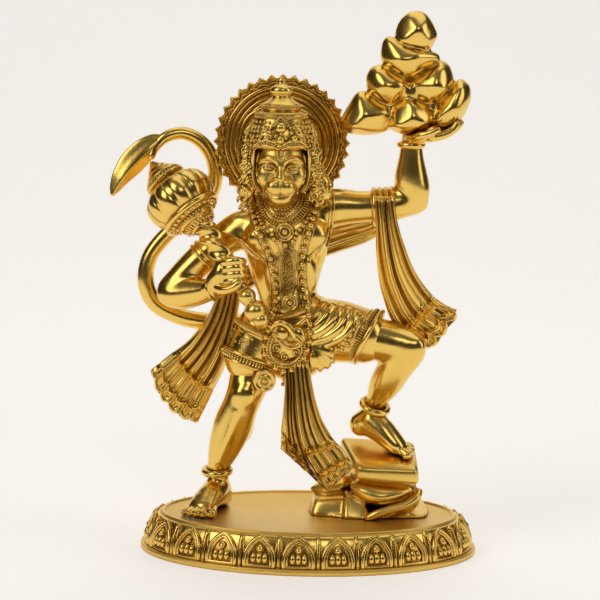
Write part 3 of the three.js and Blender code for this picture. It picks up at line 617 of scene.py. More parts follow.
# A Geometry Nodes tree with named inputs, and its end: real meshes with a material
def newTree(name, inputs):
    tree = bpy.data.node_groups.new(name, "GeometryNodeTree")
    inputs = [("Geometry", "Geometry")] + inputs
    for label, kind in inputs:
        tree.interface.new_socket(label, in_out="INPUT", socket_type="NodeSocket" + kind)
    tree.interface.new_socket("Geometry", in_out="OUTPUT", socket_type="NodeSocketGeometry")
    nodes = Nodes(tree)
    source = tree.nodes.new("NodeGroupInput")
    return nodes, {label: Socket(nodes, source.outputs[label]) for label, _ in inputs}


def endTree(nodes, geometry, finish):
    real = nodes.add("GeometryNodeRealizeInstances", None, {0: geometry})
    smooth = nodes.add("GeometryNodeSetShadeSmooth", None, {0: real})
    done = nodes.add("GeometryNodeSetMaterial", None, {"Geometry": smooth, "Material": finish})
    target = nodes.tree.nodes.new("NodeGroupOutput")
    nodes.tree.links.new(done.socket, target.inputs[0])
    return nodes.tree


# Beads or ribs at a pitch along curves, each stretched along and across its curve
def beadTree():
    nodes, given = newTree("beadsOnCurve", [
        ("Pitch", "Float"), ("Size", "Vector"), ("Sides", "Int"), ("Material", "Material")])
    spaced = nodes.add("GeometryNodeResampleCurve", {"mode": "LENGTH"},
                       {"Curve": given["Geometry"], "Length": given["Pitch"]})
    bead = nodes.add("GeometryNodeMeshUVSphere", None,
                     {"Radius": 1.0, "Segments": given["Sides"], "Rings": given["Sides"] * 0.7})
    tangent = nodes.add("GeometryNodeInputTangent")
    ahead = nodes.add("FunctionNodeAlignRotationToVector", {"axis": "X"}, {"Vector": tangent})
    level = nodes.add("FunctionNodeAlignRotationToVector", {"axis": "Y", "pivot_axis": "X"},
                      {"Rotation": ahead, "Vector": (0.0, 1.0, 0.0)})
    placed = nodes.add("GeometryNodeInstanceOnPoints", None,
                       {"Points": spaced, "Instance": bead, "Rotation": level, "Scale": given["Size"]})
    return endTree(nodes, placed, given["Material"])


# Round wire along curves, such as scrolls and raised lines
def wireTree():
    nodes, given = newTree("wireOnCurve", [("Radius", "Float"), ("Material", "Material")])
    profile = nodes.add("GeometryNodeCurvePrimitiveCircle", None,
                        {"Resolution": 6, "Radius": given["Radius"]})
    wire = nodes.add("GeometryNodeCurveToMesh", None,
                     {"Curve": given["Geometry"], "Profile Curve": profile, "Fill Caps": True})
    return endTree(nodes, wire, given["Material"])


beadsOnCurve = beadTree()
wireOnCurve = wireTree()


# Runs a tree on an object and keeps the plain mesh that it makes
def runTree(source, tree, values, name):
    modifier = source.modifiers.new("shape", "NODES")
    modifier.node_group = tree
    sockets = {item.name: item.identifier for item in tree.interface.items_tree if item.in_out == "INPUT"}
    for label, value in values.items():
        modifier[sockets[label]] = value
    bpy.context.view_layer.update()
    evaluated = source.evaluated_get(bpy.context.evaluated_depsgraph_get())
    mesh = bpy.data.meshes.new_from_object(evaluated)
    mesh.name = name
    bpy.data.objects.remove(source)
    return intoScene(name, mesh)


def beads(name, lines, pitch, size, finish=polishedGold, sides=8):
    size = (size, size, size) if np.isscalar(size) else size
    source = curvesObject(name + "Line", lines)
    values = {"Pitch": pitch * share, "Size": [value * share for value in size], "Sides": sides,
              "Material": finish}
    return settle(runTree(source, beadsOnCurve, values, name), finish, "figure")


def wires(name, lines, radius, finish=polishedGold, node="figure"):
    source = curvesObject(name + "Line", lines)
    return settle(runTree(source, wireOnCurve, {"Radius": radius * share, "Material": finish}, name),
                  finish, node)


# Points drawn on the front, as x and z, laid on the clay
def laid(clays, drawn, lift=0.0, pitch=0.25, smooth=6, way=1):
    drawn = np.asarray(drawn, float)
    drawn = evenly(smoothRows(drawn, smooth) if smooth else drawn, pitch)
    depth = way * np.min([way * clay.front(drawn[:, 0], drawn[:, 1], way) for clay in clays], axis=0)
    good = np.isfinite(depth)
    depth = np.interp(np.arange(len(depth)), np.flatnonzero(good), depth[good])
    for _ in range(3):
        depth[1:-1] = (depth[:-2] + 2 * depth[1:-1] + depth[2:]) / 4
    return np.column_stack((drawn[:, 0], depth - way * lift, drawn[:, 1]))


# A spiral scroll as drawn points, from its outer end to its eye
def scroll(x, z, size, turn, hand=1, coils=1.4):
    t = np.linspace(0, 1, 18)
    angle = turn + hand * t * coils * 2 * math.pi
    radius = size * (1 - 0.85 * t)
    return np.column_stack((x + radius * np.cos(angle), z + radius * np.sin(angle)))


def ovalPoints(x, z, wide, tall, start=0, end=360, count=40):
    angle = np.radians(np.linspace(start, end, count))
    return np.column_stack((x + wide * np.cos(angle), z + tall * np.sin(angle)))


print("torso and arms")

torso = Clay((-33, -9, 36), (26, 10, 79), grain=0.36)
torso.rod([
    (-4, 1.6, 37, 5.6, 4.4), (-4.4, 1.5, 41, 5.9, 4.5), (-5.1, 1.6, 44.7, 5.9, 4.4),
    (-5.5, 1.8, 50.3, 7.3, 4.6), (-5.4, 2.2, 55.3, 8.4, 4.8), (-5.3, 2.5, 58.6, 6.6, 3.6),
    (-5.5, 2.5, 60.6, 3, 2.6),
])
torso.ball((-9.6, -1, 55.4), (4.1, 2.6, 3.5), 1, (0, -20, 0))
torso.ball((-1.2, -0.8, 56.2), (4.1, 2.6, 3.5), 1, (0, 20, 0))
torso.ball((-4.4, -1.2, 41.2), (4.3, 2.6, 3.8), 1.6)
torso.rod([(-5.6, 2.2, 58, 2.7, 2.6), (-6.5, 0.8, 66, 2.5, 2.6)], 1.2)
for side in (-1, 1):
    torso.ball((-5 + side * 4.2, 4.6, 53), (3.2, 2.2, 4.6), 1.2)
    torso.rod([(-4.6 + side * 3.6, -2.4, 50.8, 0.5), (-4.4 + side * 4.6, -1.6, 48.4, 0.55),
               (-4.2 + side * 4.6, -0.8, 46, 0.5)], 1)
torso.rod([(-5.3, 7.4, 57, 0.5), (-4.9, 6.6, 50, 0.5), (-4.3, 6.4, 43, 0.5)], 1.2, carve=True)

# The raised arm
torso.rod([
    (-1, 2.4, 58.4, 3.6, 3.2), (1.8, 2.8, 60.4, 3.9, 3.5), (4.7, 2.9, 61.2, 3.8, 3.5),
    (9.4, 2.5, 61.4, 3.2, 3.2), (14.9, 2.2, 61.9, 3.2, 3.2), (19, 2.2, 62.9, 2.9, 2.9),
], 1.4)
torso.rod([
    (19.6, 2.2, 63, 2.4, 2.4), (19.6, 2, 65, 3.1, 3.1), (19, 1.9, 67, 3.4, 3.3),
    (18.8, 1.1, 71.4, 2.5, 2.4), (18.8, 0.7, 75.4, 2, 1.9),
], 1)
torso.ball((20.9, 2.4, 62.3), (1.5, 1.6, 1.3), 1)

# The arm that holds the mace
torso.rod([
    (-9, 2.4, 56.4, 3.6, 3.2), (-13.6, 3, 56.6, 3.9, 3.6), (-18.2, 3.6, 54, 3.3, 3.3),
    (-23.5, 3.7, 49.1, 3.2, 3.2), (-28.2, 3.6, 44.5, 2.6, 2.8),
], 1.3)
torso.rod([
    (-29, 3.3, 43.2, 2.1, 2.4), (-27.4, 2.8, 43.3, 2.9, 3), (-25.2, 1.8, 43.6, 3.1, 3.1),
    (-21.3, -1, 44.6, 2.4, 2.4), (-18.2, -3.3, 45.9, 1.8, 1.9),
], 0.9)
torso.rod([(-17.5, 0.6, 56, 0.35), (-14.6, -0.9, 54.4, 0.35), (-12.3, -1.9, 52.4, 0.35),
           (-10.2, -2.8, 50.6, 0.3)], 0.6)
torso.rod([(1, -1.6, 57, 0.3), (1.8, -1.2, 54.4, 0.3), (0.6, -2.2, 52, 0.3), (-0.8, -2.9, 51.6, 0.25)], 0.6)

torso.soften(2)

print("hips and dress")

dress = Clay((-19, -9.5, 26.5), (15, 10, 45.5), grain=0.26)
dress.rod([(-3.6, 1.4, 31.6, 5, 4.4), (-3.9, 1.4, 34.6, 8, 6), (-3.6, 1.4, 37.4, 7.8, 5.9),
           (-3.4, 1.5, 40, 5.9, 4.9)], 0.8)
dress.rod([(-9.6, 1.4, 37.4, 5.1, 5.4), (-11, 0.9, 33.6, 5.2, 5.3), (-12.1, 0.5, 30.9, 5.1, 5.1)], 1)
dress.rod([(0, 1, 37, 6.3, 5.8), (5, -0.1, 36.9, 6.2, 5.5), (9.8, -1.2, 36.3, 5.5, 5.2)], 1)
dress.rod([(-4, 4.6, 33, 4, 3), (-8.5, 4.4, 33.6, 3.6, 3)], 1)

# Folds swept from the garland up over the left hip and round behind it
foldEnds = [
    [(-0.6, 38.9), (0.9, 40.6), (1.9, 42), (2.3, 42.6)],
    [(-0.5, 37.7), (1.6, 39.2), (3.1, 41.2), (3.9, 42.4)],
    [(-0.3, 36.5), (2.2, 37.8), (4.4, 39.9), (5.5, 42)],
    [(-0.1, 35.3), (2.9, 36.5), (5.6, 38.6), (7, 41.5)],
    [(0.1, 34.2), (3.6, 35.2), (6.7, 37.4), (8.4, 41)],
]
for drawn in foldEnds:
    line = laid([dress], drawn, -0.2, 0.5)
    x, y, z = line[-1]
    behind = [(x + 0.1, y + 2, z - 0.1), (x - 0.2, 2.4, z - 1.4), (x - 1, 4.4, z - 4.2),
              (x - 1.8, 4.8, z - 7)]
    line = np.vstack((line, behind))
    dress.rollAlong(line, 0.78 * np.sin(np.linspace(0.45, 2.8, len(line))) ** 0.5, 0.14, 1)
dress.rod([(-15.2, -1, 38.9, 0.5), (-13.8, -3, 38.2, 0.6), (-12.3, -3.8, 37.6, 0.65),
           (-10.7, -4.4, 37, 0.6), (-9.6, -4.8, 36.4, 0.5)], 0.2)
dress.rod([(-8, -6.4, 37.9, 0.45), (-7.5, -7, 38.9, 0.6), (-6.3, -7.3, 39.5, 0.62), (-4.8, -7.4, 38.9, 0.6),
           (-3.9, -7.3, 37.7, 0.6), (-3.5, -7.2, 36.4, 0.45)], 0.12)
dress.ball((-6, -6.2, 37.3), (1.7, 1, 1.5), 0.15, (0, 30, 0))
dress.rod([(-7.6, -6.2, 36.8, 0.4), (-6.4, -6.8, 35.8, 0.45), (-4.9, -7, 34.6, 0.5), (-3.2, -7, 34.7, 0.55),
           (-1.9, -6.9, 35.6, 0.45)], 0.12)
dress.ball((-2.6, -7, 37.1), (1.35, 1.1, 1.75), 0.15, (0, -25, 0))
dress.rod([(-9.4, -4.6, 40.2, 0.35), (-6.4, -4.9, 40.3, 0.5), (-3.6, -5, 40.8, 0.5),
           (-0.6, -4.6, 41.9, 0.4)], 0.2)
dress.rod([(-3.4, -5.4, 38.6, 0.4), (-2.4, -5.6, 39.2, 0.5), (-1.2, -5.5, 40.2, 0.45)], 0.2)

# The fan of pleats that falls from the garland
for index, (x, z) in enumerate([(4, 33), (3.9, 31.7), (3.1, 30.7), (1.7, 30.2), (0.2, 30.5)]):
    dress.rod([(0, -4.6, 34.6 - 0.3 * index, 0.35), ((x - 0.1) * 0.55, -5, (z + 34.9) / 2, 0.55),
               (x * 0.93, -4.7, z + 0.25, 0.75), (x, -4.5, z, 0.6)], 0.1)

# Plainer folds and the belt behind
backFolds = [
    [(-3.8, 41.2), (0, 40.4), (4.5, 39.4), (8.6, 38.6)],
    [(-3.9, 39.9), (0, 38.6), (4.5, 37.2), (8.8, 36.4)],
    [(-4, 38.4), (0, 36.8), (4.5, 35), (8.4, 34.2)],
    [(-4.2, 36.8), (-0.6, 35), (3.4, 33.2)],
    [(-4.6, 41), (-7.4, 39.8), (-10.2, 38), (-13, 36)],
    [(-4.8, 39.4), (-7.4, 37.8), (-10.2, 35.6), (-12.8, 33.4)],
    [(-5, 37.8), (-7.4, 35.8), (-9.8, 33.4), (-11.6, 31.6)],
]
for drawn in backFolds:
    line = laid([dress], drawn, -0.15, 0.6, way=-1)
    dress.rollAlong(line, 0.62 * np.sin(np.linspace(0.35, 2.8, len(line))) ** 0.5, 0.16, 1)
beltBehind = laid([dress], [(-9.6, 41.4), (-6.8, 41.9), (-3.8, 42.1), (-0.8, 42.2), (1.8, 42.6)], -0.1,
                  0.6, way=-1)
dress.rollAlong(beltBehind, 0.75, 0.16, 1)

dress.soften(1)

print("legs")

legs = Clay((-27, -10, -0.6), (25, 9.5, 40), grain=0.33)
legs.rod([
    (-10.9, 0.9, 34, 4.5, 4.4), (-11.6, 0.8, 29, 4.4, 4.4), (-12.8, -0.6, 24.9, 3.8, 3.9),
    (-13.9, -0.8, 21.8, 3.6, 3.7), (-15.4, 0.5, 17.5, 3.9, 4), (-16.9, 1.1, 13.2, 3.3, 3.5),
    (-18.2, 1.4, 9.2, 2.25, 2.45), (-18.25, 1.6, 7.6, 2.1, 2.3),
], 0.8)
legs.ball((-13.1, -3.9, 24.2), (1.9, 1.2, 2.1), 1.2, (0, -15, 0))
legs.rod([(-14.4, -3.9, 21, 0.5), (-16.2, -3.4, 15.6, 0.6), (-17.8, -1.6, 10.4, 0.5)], 1.3)
legs.ball((-14.2, 3.3, 17.2), (3, 2.2, 4.2), 1.4)
legs.rod([
    (4, 0, 36.3, 4.8, 4.9), (7.6, -0.2, 36.2, 4.6, 4.8), (12.5, -1.2, 35.7, 4.3, 4.5),
    (17.2, -2.5, 34.9, 3.8, 4), (19.3, -2.9, 33.8, 3, 3.2),
], 0.8)
legs.rod([
    (19.4, -2.9, 34.8, 3, 3.1), (18.3, -2.4, 32.8, 3.5, 3.5), (16.8, -1.7, 30.4, 3.4, 3.5),
    (14.9, 0.2, 26.7, 3.2, 3.2), (13.4, 2.3, 23.2, 2.25, 2.25), (12.9, 2.9, 21.4, 1.9, 1.9),
], 1)
legs.ball((20.4, -5.2, 34.6), (1.7, 1.2, 2), 1.2, (0, 10, 0))

legs.floor(-0.05)
legs.soften(1)


# Toes: where each starts under the instep, its tip, and how thick it is
def pressToes(clay, toes):
    for start, tip, thick in toes:
        start, tip = np.array(start), np.array(tip)
        rows = [(*start, thick * 0.9), (*(0.45 * start + 0.55 * tip + (0, 0, 0.12)), thick * 0.86),
                (*tip, thick)]
        clay.rod(rows, 0.14)
        ahead = unit((tip - start) * (1, 1, 0))
        nail = tip + ahead * thick * 0.6 + (0, 0, thick * 0.68)
        clay.ball(nail, (thick * 0.42, thick * 0.42, thick * 0.24), 0.05)


standingFoot = Clay((-26.8, -9.2, -0.6), (-14, 7.6, 8.4), grain=0.19)
standingFoot.rod([(-18.25, 1.6, 8.6, 2.2, 2.4), (-18.3, 1.9, 5.6, 2.15, 2.5),
                  (-18.1, 2.4, 3.6, 2.1, 2.5)], 0.6)
standingFoot.rod([(-17.7, 4.4, 1.9, 2.2, 2), (-18.2, 2.2, 3.4, 2.6, 3), (-19.2, -0.2, 3.4, 2.9, 2.6),
                  (-20.1, -1.8, 2.8, 3, 2.1), (-20.8, -3, 2.2, 3.05, 1.7)], 0.9, facing=upwards)
pressToes(standingFoot, [
    ((-23.4, -3, 1.3), (-24.6, -4.6, 0.8), 0.78), ((-22.6, -3.9, 1.4), (-23.45, -5.7, 0.84), 0.82),
    ((-21.7, -4.5, 1.5), (-22.2, -6.4, 0.88), 0.86), ((-20.7, -4.9, 1.5), (-20.85, -6.95, 0.92), 0.88),
    ((-19.2, -4.7, 1.6), (-19.25, -6.9, 1.15), 1.14),
])
standingFoot.floor(-0.05)
standingFoot.soften(1)

raisedFoot = Clay((6.8, -4.6, 10.4), (23.2, 8.4, 22.6), grain=0.19)
raisedFoot.rod([(12.9, 2.9, 22.4, 2.05, 2.05), (12.4, 3.3, 19.4, 2, 2.2), (12, 3.4, 18.2, 2, 2.3)], 0.6)
raisedFoot.rod([(10.3, 4, 17.7, 2.1, 2.2), (12, 3.2, 18, 2.5, 3), (14, 2.1, 16.9, 2.55, 2.75),
                (15.8, 1.1, 15.4, 2.55, 2.3), (17.2, 0.5, 14.2, 2.5, 1.9)], 0.8, facing=upwards)
raisedFoot.ball((10, 4.2, 17.2), (2, 2, 2.2), 0.8)
pressToes(raisedFoot, [
    ((18, -1, 13.3), (19.3, -1.9, 12.5), 0.95), ((18.9, -0.1, 13.4), (20.1, -0.8, 12.8), 0.7),
    ((19.2, 0.8, 13.6), (20.4, 0.3, 13.1), 0.66), ((19.1, 1.7, 13.8), (20.3, 1.4, 13.4), 0.62),
    ((18.8, 2.5, 13.9), (19.9, 2.4, 13.6), 0.56),
])
raisedFoot.soften(1)

print("hands")

# The fist, four fingers wrapped over the shaft from its left
fist = Clay((-22.5, -9.5, 42.5), (-11.5, 1.5, 55), grain=0.18)
fist.rod([(-20.8, -1.5, 44.9, 2, 2.1), (-19.6, -2.6, 45.6, 2.1, 2.2), (-18.7, -3.4, 46.9, 2.3, 2.1),
          (-18, -3.9, 48.6, 2, 2.2), (-17.6, -3.9, 50.2, 1.7, 1.9)], 0.8)
fist.rod([(-16.6, -3.4, 51.2, 1.3), (-15, -4.3, 48.2, 1.4)], 0.8)
for index in range(4):
    drop = 1.28 * index
    shift = 0.16 * index
    fist.rod([
        (-17.9 + shift, -4.7, 50.6 - drop, 0.78), (-16.9 + shift, -5.8, 51.0 - drop, 0.84),
        (-15.4 + shift, -6.3, 51.3 - drop, 0.84), (-14.2 + shift, -5.7, 51.2 - drop, 0.78),
        (-13.7 + shift, -4.6, 51.0 - drop, 0.7), (-14.2 + shift, -3.6, 50.8 - drop, 0.55),
    ], 0.26)
fist.rod([(-18.9, -4.2, 45.7, 1.15), (-17.4, -5.8, 45.5, 1.05), (-15.9, -6.7, 45.9, 0.92),
          (-14.8, -7, 46.7, 0.8), (-14.3, -6.8, 47.4, 0.66)], 0.3)

# The palm under the mountain, bent back like a saucer
palm = Clay((15.5, -6, 73), (30, 6, 82), grain=0.2)
palm.rod([(18.7, 0.7, 73.6, 2, 1.9), (19, 0.5, 74.8, 2.1, 2), (19.9, 0.2, 75.5, 1.7, 2.4)], 0.5)
palm.rod([(18.4, -0.2, 75.4, 0.9, 2.2), (20.8, -0.4, 75.5, 1, 3.1), (23.6, -0.5, 75.9, 0.95, 3.3)], 0.8)
for index, reach in enumerate([0, 0.9, 1, 0.2]):
    y = -3.2 + index * 1.8
    palm.rod([(22.4, y, 75.8, 0.92), (24.8, y - 0.1, 76.3, 0.86), (26.6 + reach / 2, y, 77.4, 0.76),
              (27.3 + reach, y + 0.1, 78.6, 0.6)], 0.12)
palm.rod([(18.8, -1.6, 75.2, 0.9), (20.2, -3.5, 76, 0.85), (22, -4.3, 76.6, 0.7),
          (23.6, -4.6, 77.4, 0.55)], 0.3)

bodyShells = [torso.skin(), fist.skin(), palm.skin()]
makePiece("body", bodyShells)
makePiece("legs", [legs.skin()])
makePiece("feet", [standingFoot.skin(), raisedFoot.skin()])
makePiece("dress", [dress.skin()])

print("head")

# A calm monkey's face of a general kind: half widths and heights from the middle of the face
face = {"x": -6.7, "z": 68, "eyeOut": 2.35, "eyeLine": 1.55, "muzzle": -2.2}
head = Clay((-13.6, -8.2, 60.8), (0.2, 6.6, 76.6), grain=0.15)


# A place given from the middle of the face, with its sizes after it
def onFace(x, y, z, *sizes):
    return (face["x"] + x, y, face["z"] + z, *sizes)


def facePoints(drawn):
    return [(face["x"] + x, face["z"] + z) for x, z in drawn]


def sideOfFace(side):
    out, line = side * face["eyeOut"], face["eyeLine"]
    head.ball(onFace(side * 2.8, -3.3, -0.4), (2, 1.6, 2.2), 1.3, (0, side * 14, 0))
    head.ball(onFace(side * 1.2, -5.2, face["muzzle"]), (1.75, 1.75, 1.6), 0.9, (0, side * 14, 0))
    head.ball(onFace(out, -5.6, line), (1.6, 1.2, 0.95), 0.4, carve=True)
    head.ball(onFace(out, -4.25, line - 0.05), (1.2, 0.95, 0.8), 0.1)
    head.rod([onFace(side * 0.45, -5.4, line + 0.9, 0.36), onFace(side * 1.5, -5.4, line + 1.6, 0.44),
              onFace(side * 3.1, -4.7, line + 1.7, 0.4), onFace(side * 4.4, -3.1, line + 0.6, 0.24)], 0.35)


def noseWing(side):
    head.ball(onFace(side * 0.82, -6.4, -0.85), (0.6, 0.6, 0.5), 0.22)
    head.ball(onFace(side * 0.48, -7, -1.15), (0.28, 0.42, 0.2), 0.1, carve=True)


head.ball(onFace(0, 0.2, 2.2), (5.4, 5.9, 6.7), 0.5)
head.rod([onFace(0, -0.2, -0.8, 5, 4.7), onFace(0, -0.7, -2.8, 4.1, 4.3), onFace(0, -1.3, -4.1, 2.5, 3.7),
          onFace(0, -1.7, -4.7, 1.5, 2.9)], 1)
head.ball(onFace(0, -3.8, -3), (2.9, 2.6, 2.5), 1.1)
head.ball(onFace(0, -4.7, -4.7), (1.9, 1.75, 1.25), 0.8)
for side in (-1, 1):
    sideOfFace(side)
head.rod([onFace(0, -5, 2.6, 0.62), onFace(0, -5.6, 1.2, 0.62), onFace(0, -6.4, -0.5, 0.86)], 0.6)
head.soften(1)
for side in (-1, 1):
    noseWing(side)
mouth = [(-2.7, -3.1), (-1.9, -3.75), (-1, -3.95), (0, -3.7), (1, -3.95), (1.9, -3.75), (2.7, -3.1)]
creases = [[(side * 1.5, 0), (side * 2.5, -0.9), (side * 3.3, -2.2), (side * 3.3, -3.6)]
           for side in (-1, 1)]
for drawn, size in ((mouth, 0.26), ([(0, -1.6), (0, -3.7)], 0.18), (creases[0], 0.24), (creases[1], 0.24)):
    head.rollAlong(laid([head], facePoints(drawn), 0, 0.2, 3), size, 0.14, carve=True)
makePiece("head", [head.skin()], softGold)

# The forehead mark, the lines beside the face and the eyelids
mark = [(-0.72, 5), (-0.7, 3.9), (-0.45, 3.15), (0, 2.9), (0.45, 3.15), (0.7, 3.9), (0.72, 5)]
upperLid = [(-1.3, -0.35), (-0.75, 0.3), (0.1, 0.6), (0.85, 0.45), (1.45, -0.02)]
lowerLid = [(-1.3, -0.35), (-0.5, -0.72), (0.4, -0.74), (1.45, -0.02)]
iris = [(0.4 * math.cos(t), 0.4 * math.sin(t)) for t in np.linspace(0, 2 * math.pi, 15)]
cheekLine = [(4.3, 4.2), (4.75, 2.6), (4.75, 0.4), (4.3, -1.6)]
faceLines = [laid([head], facePoints(mark), 0.05), laid([head], facePoints([(0, 5), (0, 3.7)]), 0.05, 0.2)]
eyeLines = []
for side in (-1, 1):
    faceLines.append(laid([head], facePoints([(side * x, z) for x, z in cheekLine]), 0.05))
    for drawn in (upperLid, lowerLid, iris):
        eye = facePoints([(side * (face["eyeOut"] + x), face["eyeLine"] + z) for x, z in drawn])
        eyeLines.append(laid([head], eye, 0.04, 0.12, 0 if drawn is iris else 3))
wires("faceLines", faceLines, 0.2)
wires("eyeLines", eyeLines, 0.17)

print("hair and crown")

random = np.random.default_rng(7)
mane = Clay((-19, -5, 57), (7, 9, 80), grain=0.3)
mane.rod([(-13, 0.6, 77, 0.4, 0.6), (-13.1, 0.3, 74.5, 0.6, 1), (-12.6, 0, 71, 0.9, 1.6),
          (-12.7, -0.2, 67.5, 1.3, 1.8), (-13.3, -0.3, 64.8, 1.7, 1.6), (-13.7, -0.1, 62.8, 1.1, 1.2)], 0.5)
mane.rod([(-0.8, 0.6, 77.6, 0.4, 0.6), (-0.5, 0.3, 75, 0.6, 1), (-0.7, 0, 71.5, 0.9, 1.6),
          (0.1, -0.2, 68.5, 1.5, 1.8), (1.2, -0.4, 66, 2, 1.7), (1.8, -0.6, 64.4, 1.7, 1.3)], 0.5)
mane.ball((-6.9, 3.4, 68.5), (6.4, 2.6, 8.2), 0.6)


def strands(angle, progress):
    return 1 - 0.34 * np.abs(np.cos(2.5 * angle + 5 * progress)) ** 1.5


# Wavy locks over the mane, which leave it under the crown
hair = {"wave": 0.5, "length": 3.1, "thick": 0.68, "top": 78, "stations": 34, "locksBehind": 9, "curls": 18}
hairLocks = [mane.skin()]
lockEnds = [(-12.6, 62.6), (-12.9, 61.4), (-13.4, 60.6), (-13.9, 60.4), (-14.4, 61), (-14.8, 62.4),
            (-15.1, 64.2)]
lockEnds += [(-0.7, 63.4), (-0.1, 62.4), (0.6, 61.9), (1.2, 62), (1.9, 62.3), (2.6, 62.9), (3.2, 63.8),
             (3.6, 64.9)]
for index, (foot, end) in enumerate(lockEnds):
    side = -1 if foot < face["x"] else 1
    first = abs(foot - face["x"]) - 4.9
    root = face["x"] + side * (6.45 + 0.06 * first) - 0.35
    phase = random.uniform(0, 6)
    stations = []
    for step in range(hair["stations"]):
        t = step / (hair["stations"] - 1)
        turn = phase + t * (hair["top"] - end) / hair["length"] * 2 * math.pi
        tucked = (1 - min(t * 5, 1)) ** 2
        sway = hair["wave"] * (0.4 + 0.4 * t) * math.sin(turn)
        x = root - side * 1.6 * tucked + (foot - root) * t ** 2.6 + sway
        depth = -1.7 - 1.1 * math.sin(math.pi * min(t * 1.1, 1)) + 0.26 * first * (0.8 - 0.5 * t)
        depth = depth + 0.4 * math.cos(turn) + 2.6 * tucked
        z = hair["top"] + (end - hair["top"]) * t
        stations.append((x, depth, z, hair["thick"] * (0.7 + 0.4 * t - 0.75 * t ** 6)))
    hairLocks.append(swept(stations, 12, 2, section=strands))
for index in range(hair["locksBehind"]):
    x = -12.8 + index * 1.5
    lock = [(x * 0.8 - 1.2, 4.2, 76.6, 1), (x, 4.7, 70, 1.3), (x + 0.2 * (index % 3), 5, 65, 1.3),
            (x * 0.9 - 0.6, 4.6, 60.4, 0.9)]
    hairLocks.append(swept(lock, 14, 6, section=strands))
makePiece("hair", hairLocks, chasedGold)
curls = []
for index in range(hair["curls"]):
    side = -1 if index % 5 < 2 else 1
    z = 62.6 + 12 * random.random()
    low, high = (-13.3 - 0.1 * (75 - z), -13) if side < 0 else (-0.8, -0.2 + 0.26 * (75 - z))
    size = 0.75 + 0.3 * random.random()
    drawn = scroll(random.uniform(low, high), z, size, random.uniform(0, 6), 1 - 2 * (index % 2))
    curls.append(laid([mane], drawn, 1.7, 0.12, 0))
wires("curls", curls, 0.3, chasedGold)

crown = {"x": -6.9, "y": 0, "squash": 0.88, "rows": 6, "pitch": 0.98, "bead": 0.37, "sides": 96,
         "scrolls": 18}
crownProfile = [
    (5.6, 72.9), (6.5, 73.2), (6.8, 73.8), (6.75, 74.6), (6.5, 75.6), (6.2, 76.5), (5.75, 77.4),
    (5.35, 78.1), (4.95, 78.7), (4.9, 78.9), (5.1, 79.1), (5.25, 79.4), (5.1, 79.8), (4.6, 80.1),
    (4.1, 80.3), (3.8, 80.55), (3.75, 80.75), (3.95, 81), (4.1, 81.3), (4, 81.5), (3.6, 81.8), (2.9, 82.2),
    (2.4, 82.6), (1.9, 82.95), (1.75, 83.2), (1.95, 83.5), (2.25, 83.9), (2.3, 84.2), (2.15, 84.65),
    (1.6, 85.05), (0.95, 85.4), (0.72, 85.6), (0.72, 85.9), (0.68, 86.2), (0.5, 86.6), (0.2, 86.85),
]
profileZ = np.array([z for _, z in crownProfile])
profileR = np.array([radius for radius, _ in crownProfile])


# A point on the crown: degrees from the front, height, and how far it stands proud
def onCrown(turn, z, proud=0.0):
    radius = np.interp(z, profileZ, profileR) + proud
    angle = np.radians(turn)
    x = crown["x"] + radius * np.sin(angle)
    return np.column_stack((x, crown["y"] - crown["squash"] * radius * np.cos(angle), z + 0 * x))


angle = np.linspace(0, 360, crown["sides"], endpoint=False)
makePiece("crownCap", [lofted([onCrown(angle, np.full(crown["sides"], z)) for _, z in crownProfile])])


def crownLine(low, high, z, proud=0.1, count=120):
    return onCrown(np.linspace(low, high, count), np.full(count, z), proud)


def crownScroll(turn, z, size, hand, start=90):
    drawn = scroll(0, 0, size, math.radians(start), hand)
    return onCrown(turn + np.degrees(drawn[:, 0] / 6.4), z + drawn[:, 1], 0.12)


scrollLines = []
for index in range(crown["scrolls"]):
    turn = 30 + index * 17.65
    hand = 1 - 2 * (index % 2)
    scrollLines += [crownScroll(turn, 76.9, 0.62, hand), crownScroll(turn + 8.8, 75.1, 0.66, -hand, 270)]
wires("crownScrolls", scrollLines, 0.2, chasedGold)
beadRows = []
for row, z in enumerate(np.linspace(73.75, 78.15, crown["rows"])):
    clear = 24 if row > 1 else 12
    beadRows.append(crownLine(clear + 4.3 * (row % 2), 360 - clear, z, 0.12))
beads("crownBeads", beadRows, crown["pitch"], crown["bead"], chasedGold)
beads("crownRim", [crownLine(0, 357, z, 0) for z in (79.15, 79.75, 81.3)], 0.5, 0.24, chasedGold)


# Points drawn on the crown's front, as x and z
def crownFront(drawn, proud):
    x, z = np.asarray(drawn, float).T
    radius = np.interp(z, profileZ, profileR) + proud
    inside = np.sqrt(np.clip(1 - ((x - crown["x"]) / radius) ** 2, 0.02, 1))
    return np.column_stack((x, crown["y"] - crown["squash"] * radius * inside, z))


gable = [(-9, 76.9), (-8.5, 77.6), (-7.7, 78.5), (-6.93, 79.3), (-6.1, 78.5), (-5.3, 77.6), (-4.8, 76.9)]
innerGable = [(-8.3, 77.3), (-7.6, 78.1), (-6.93, 78.7), (-6.2, 78.1), (-5.5, 77.3)]
browLine = [(-12.5, 71.2), (-12.3, 72.3), (-11.5, 73.2), (-10.3, 73.75), (-8.8, 73.75), (-7.6, 73.3),
            (-6.85, 72.9), (-6.1, 73.3), (-4.9, 73.75), (-3.4, 73.75), (-2.2, 73.2), (-1.4, 72.3),
            (-1.2, 71.2)]
gables = [smoothRows(crownFront(line, lift), 5) for line, lift in ((gable, 0.6), (innerGable, 0.45))]
wires("crownGable", gables, 0.27)
browRims = [smoothRows(crownFront(np.array(browLine) + (0, shift), 0.2), 6) for shift in (0, 0.9)]
wires("browRim", browRims, 0.26)
beads("browBeads", [smoothRows(crownFront(np.array(browLine) + (0, 0.45), 0.25), 6)], 0.55, 0.25,
      chasedGold)


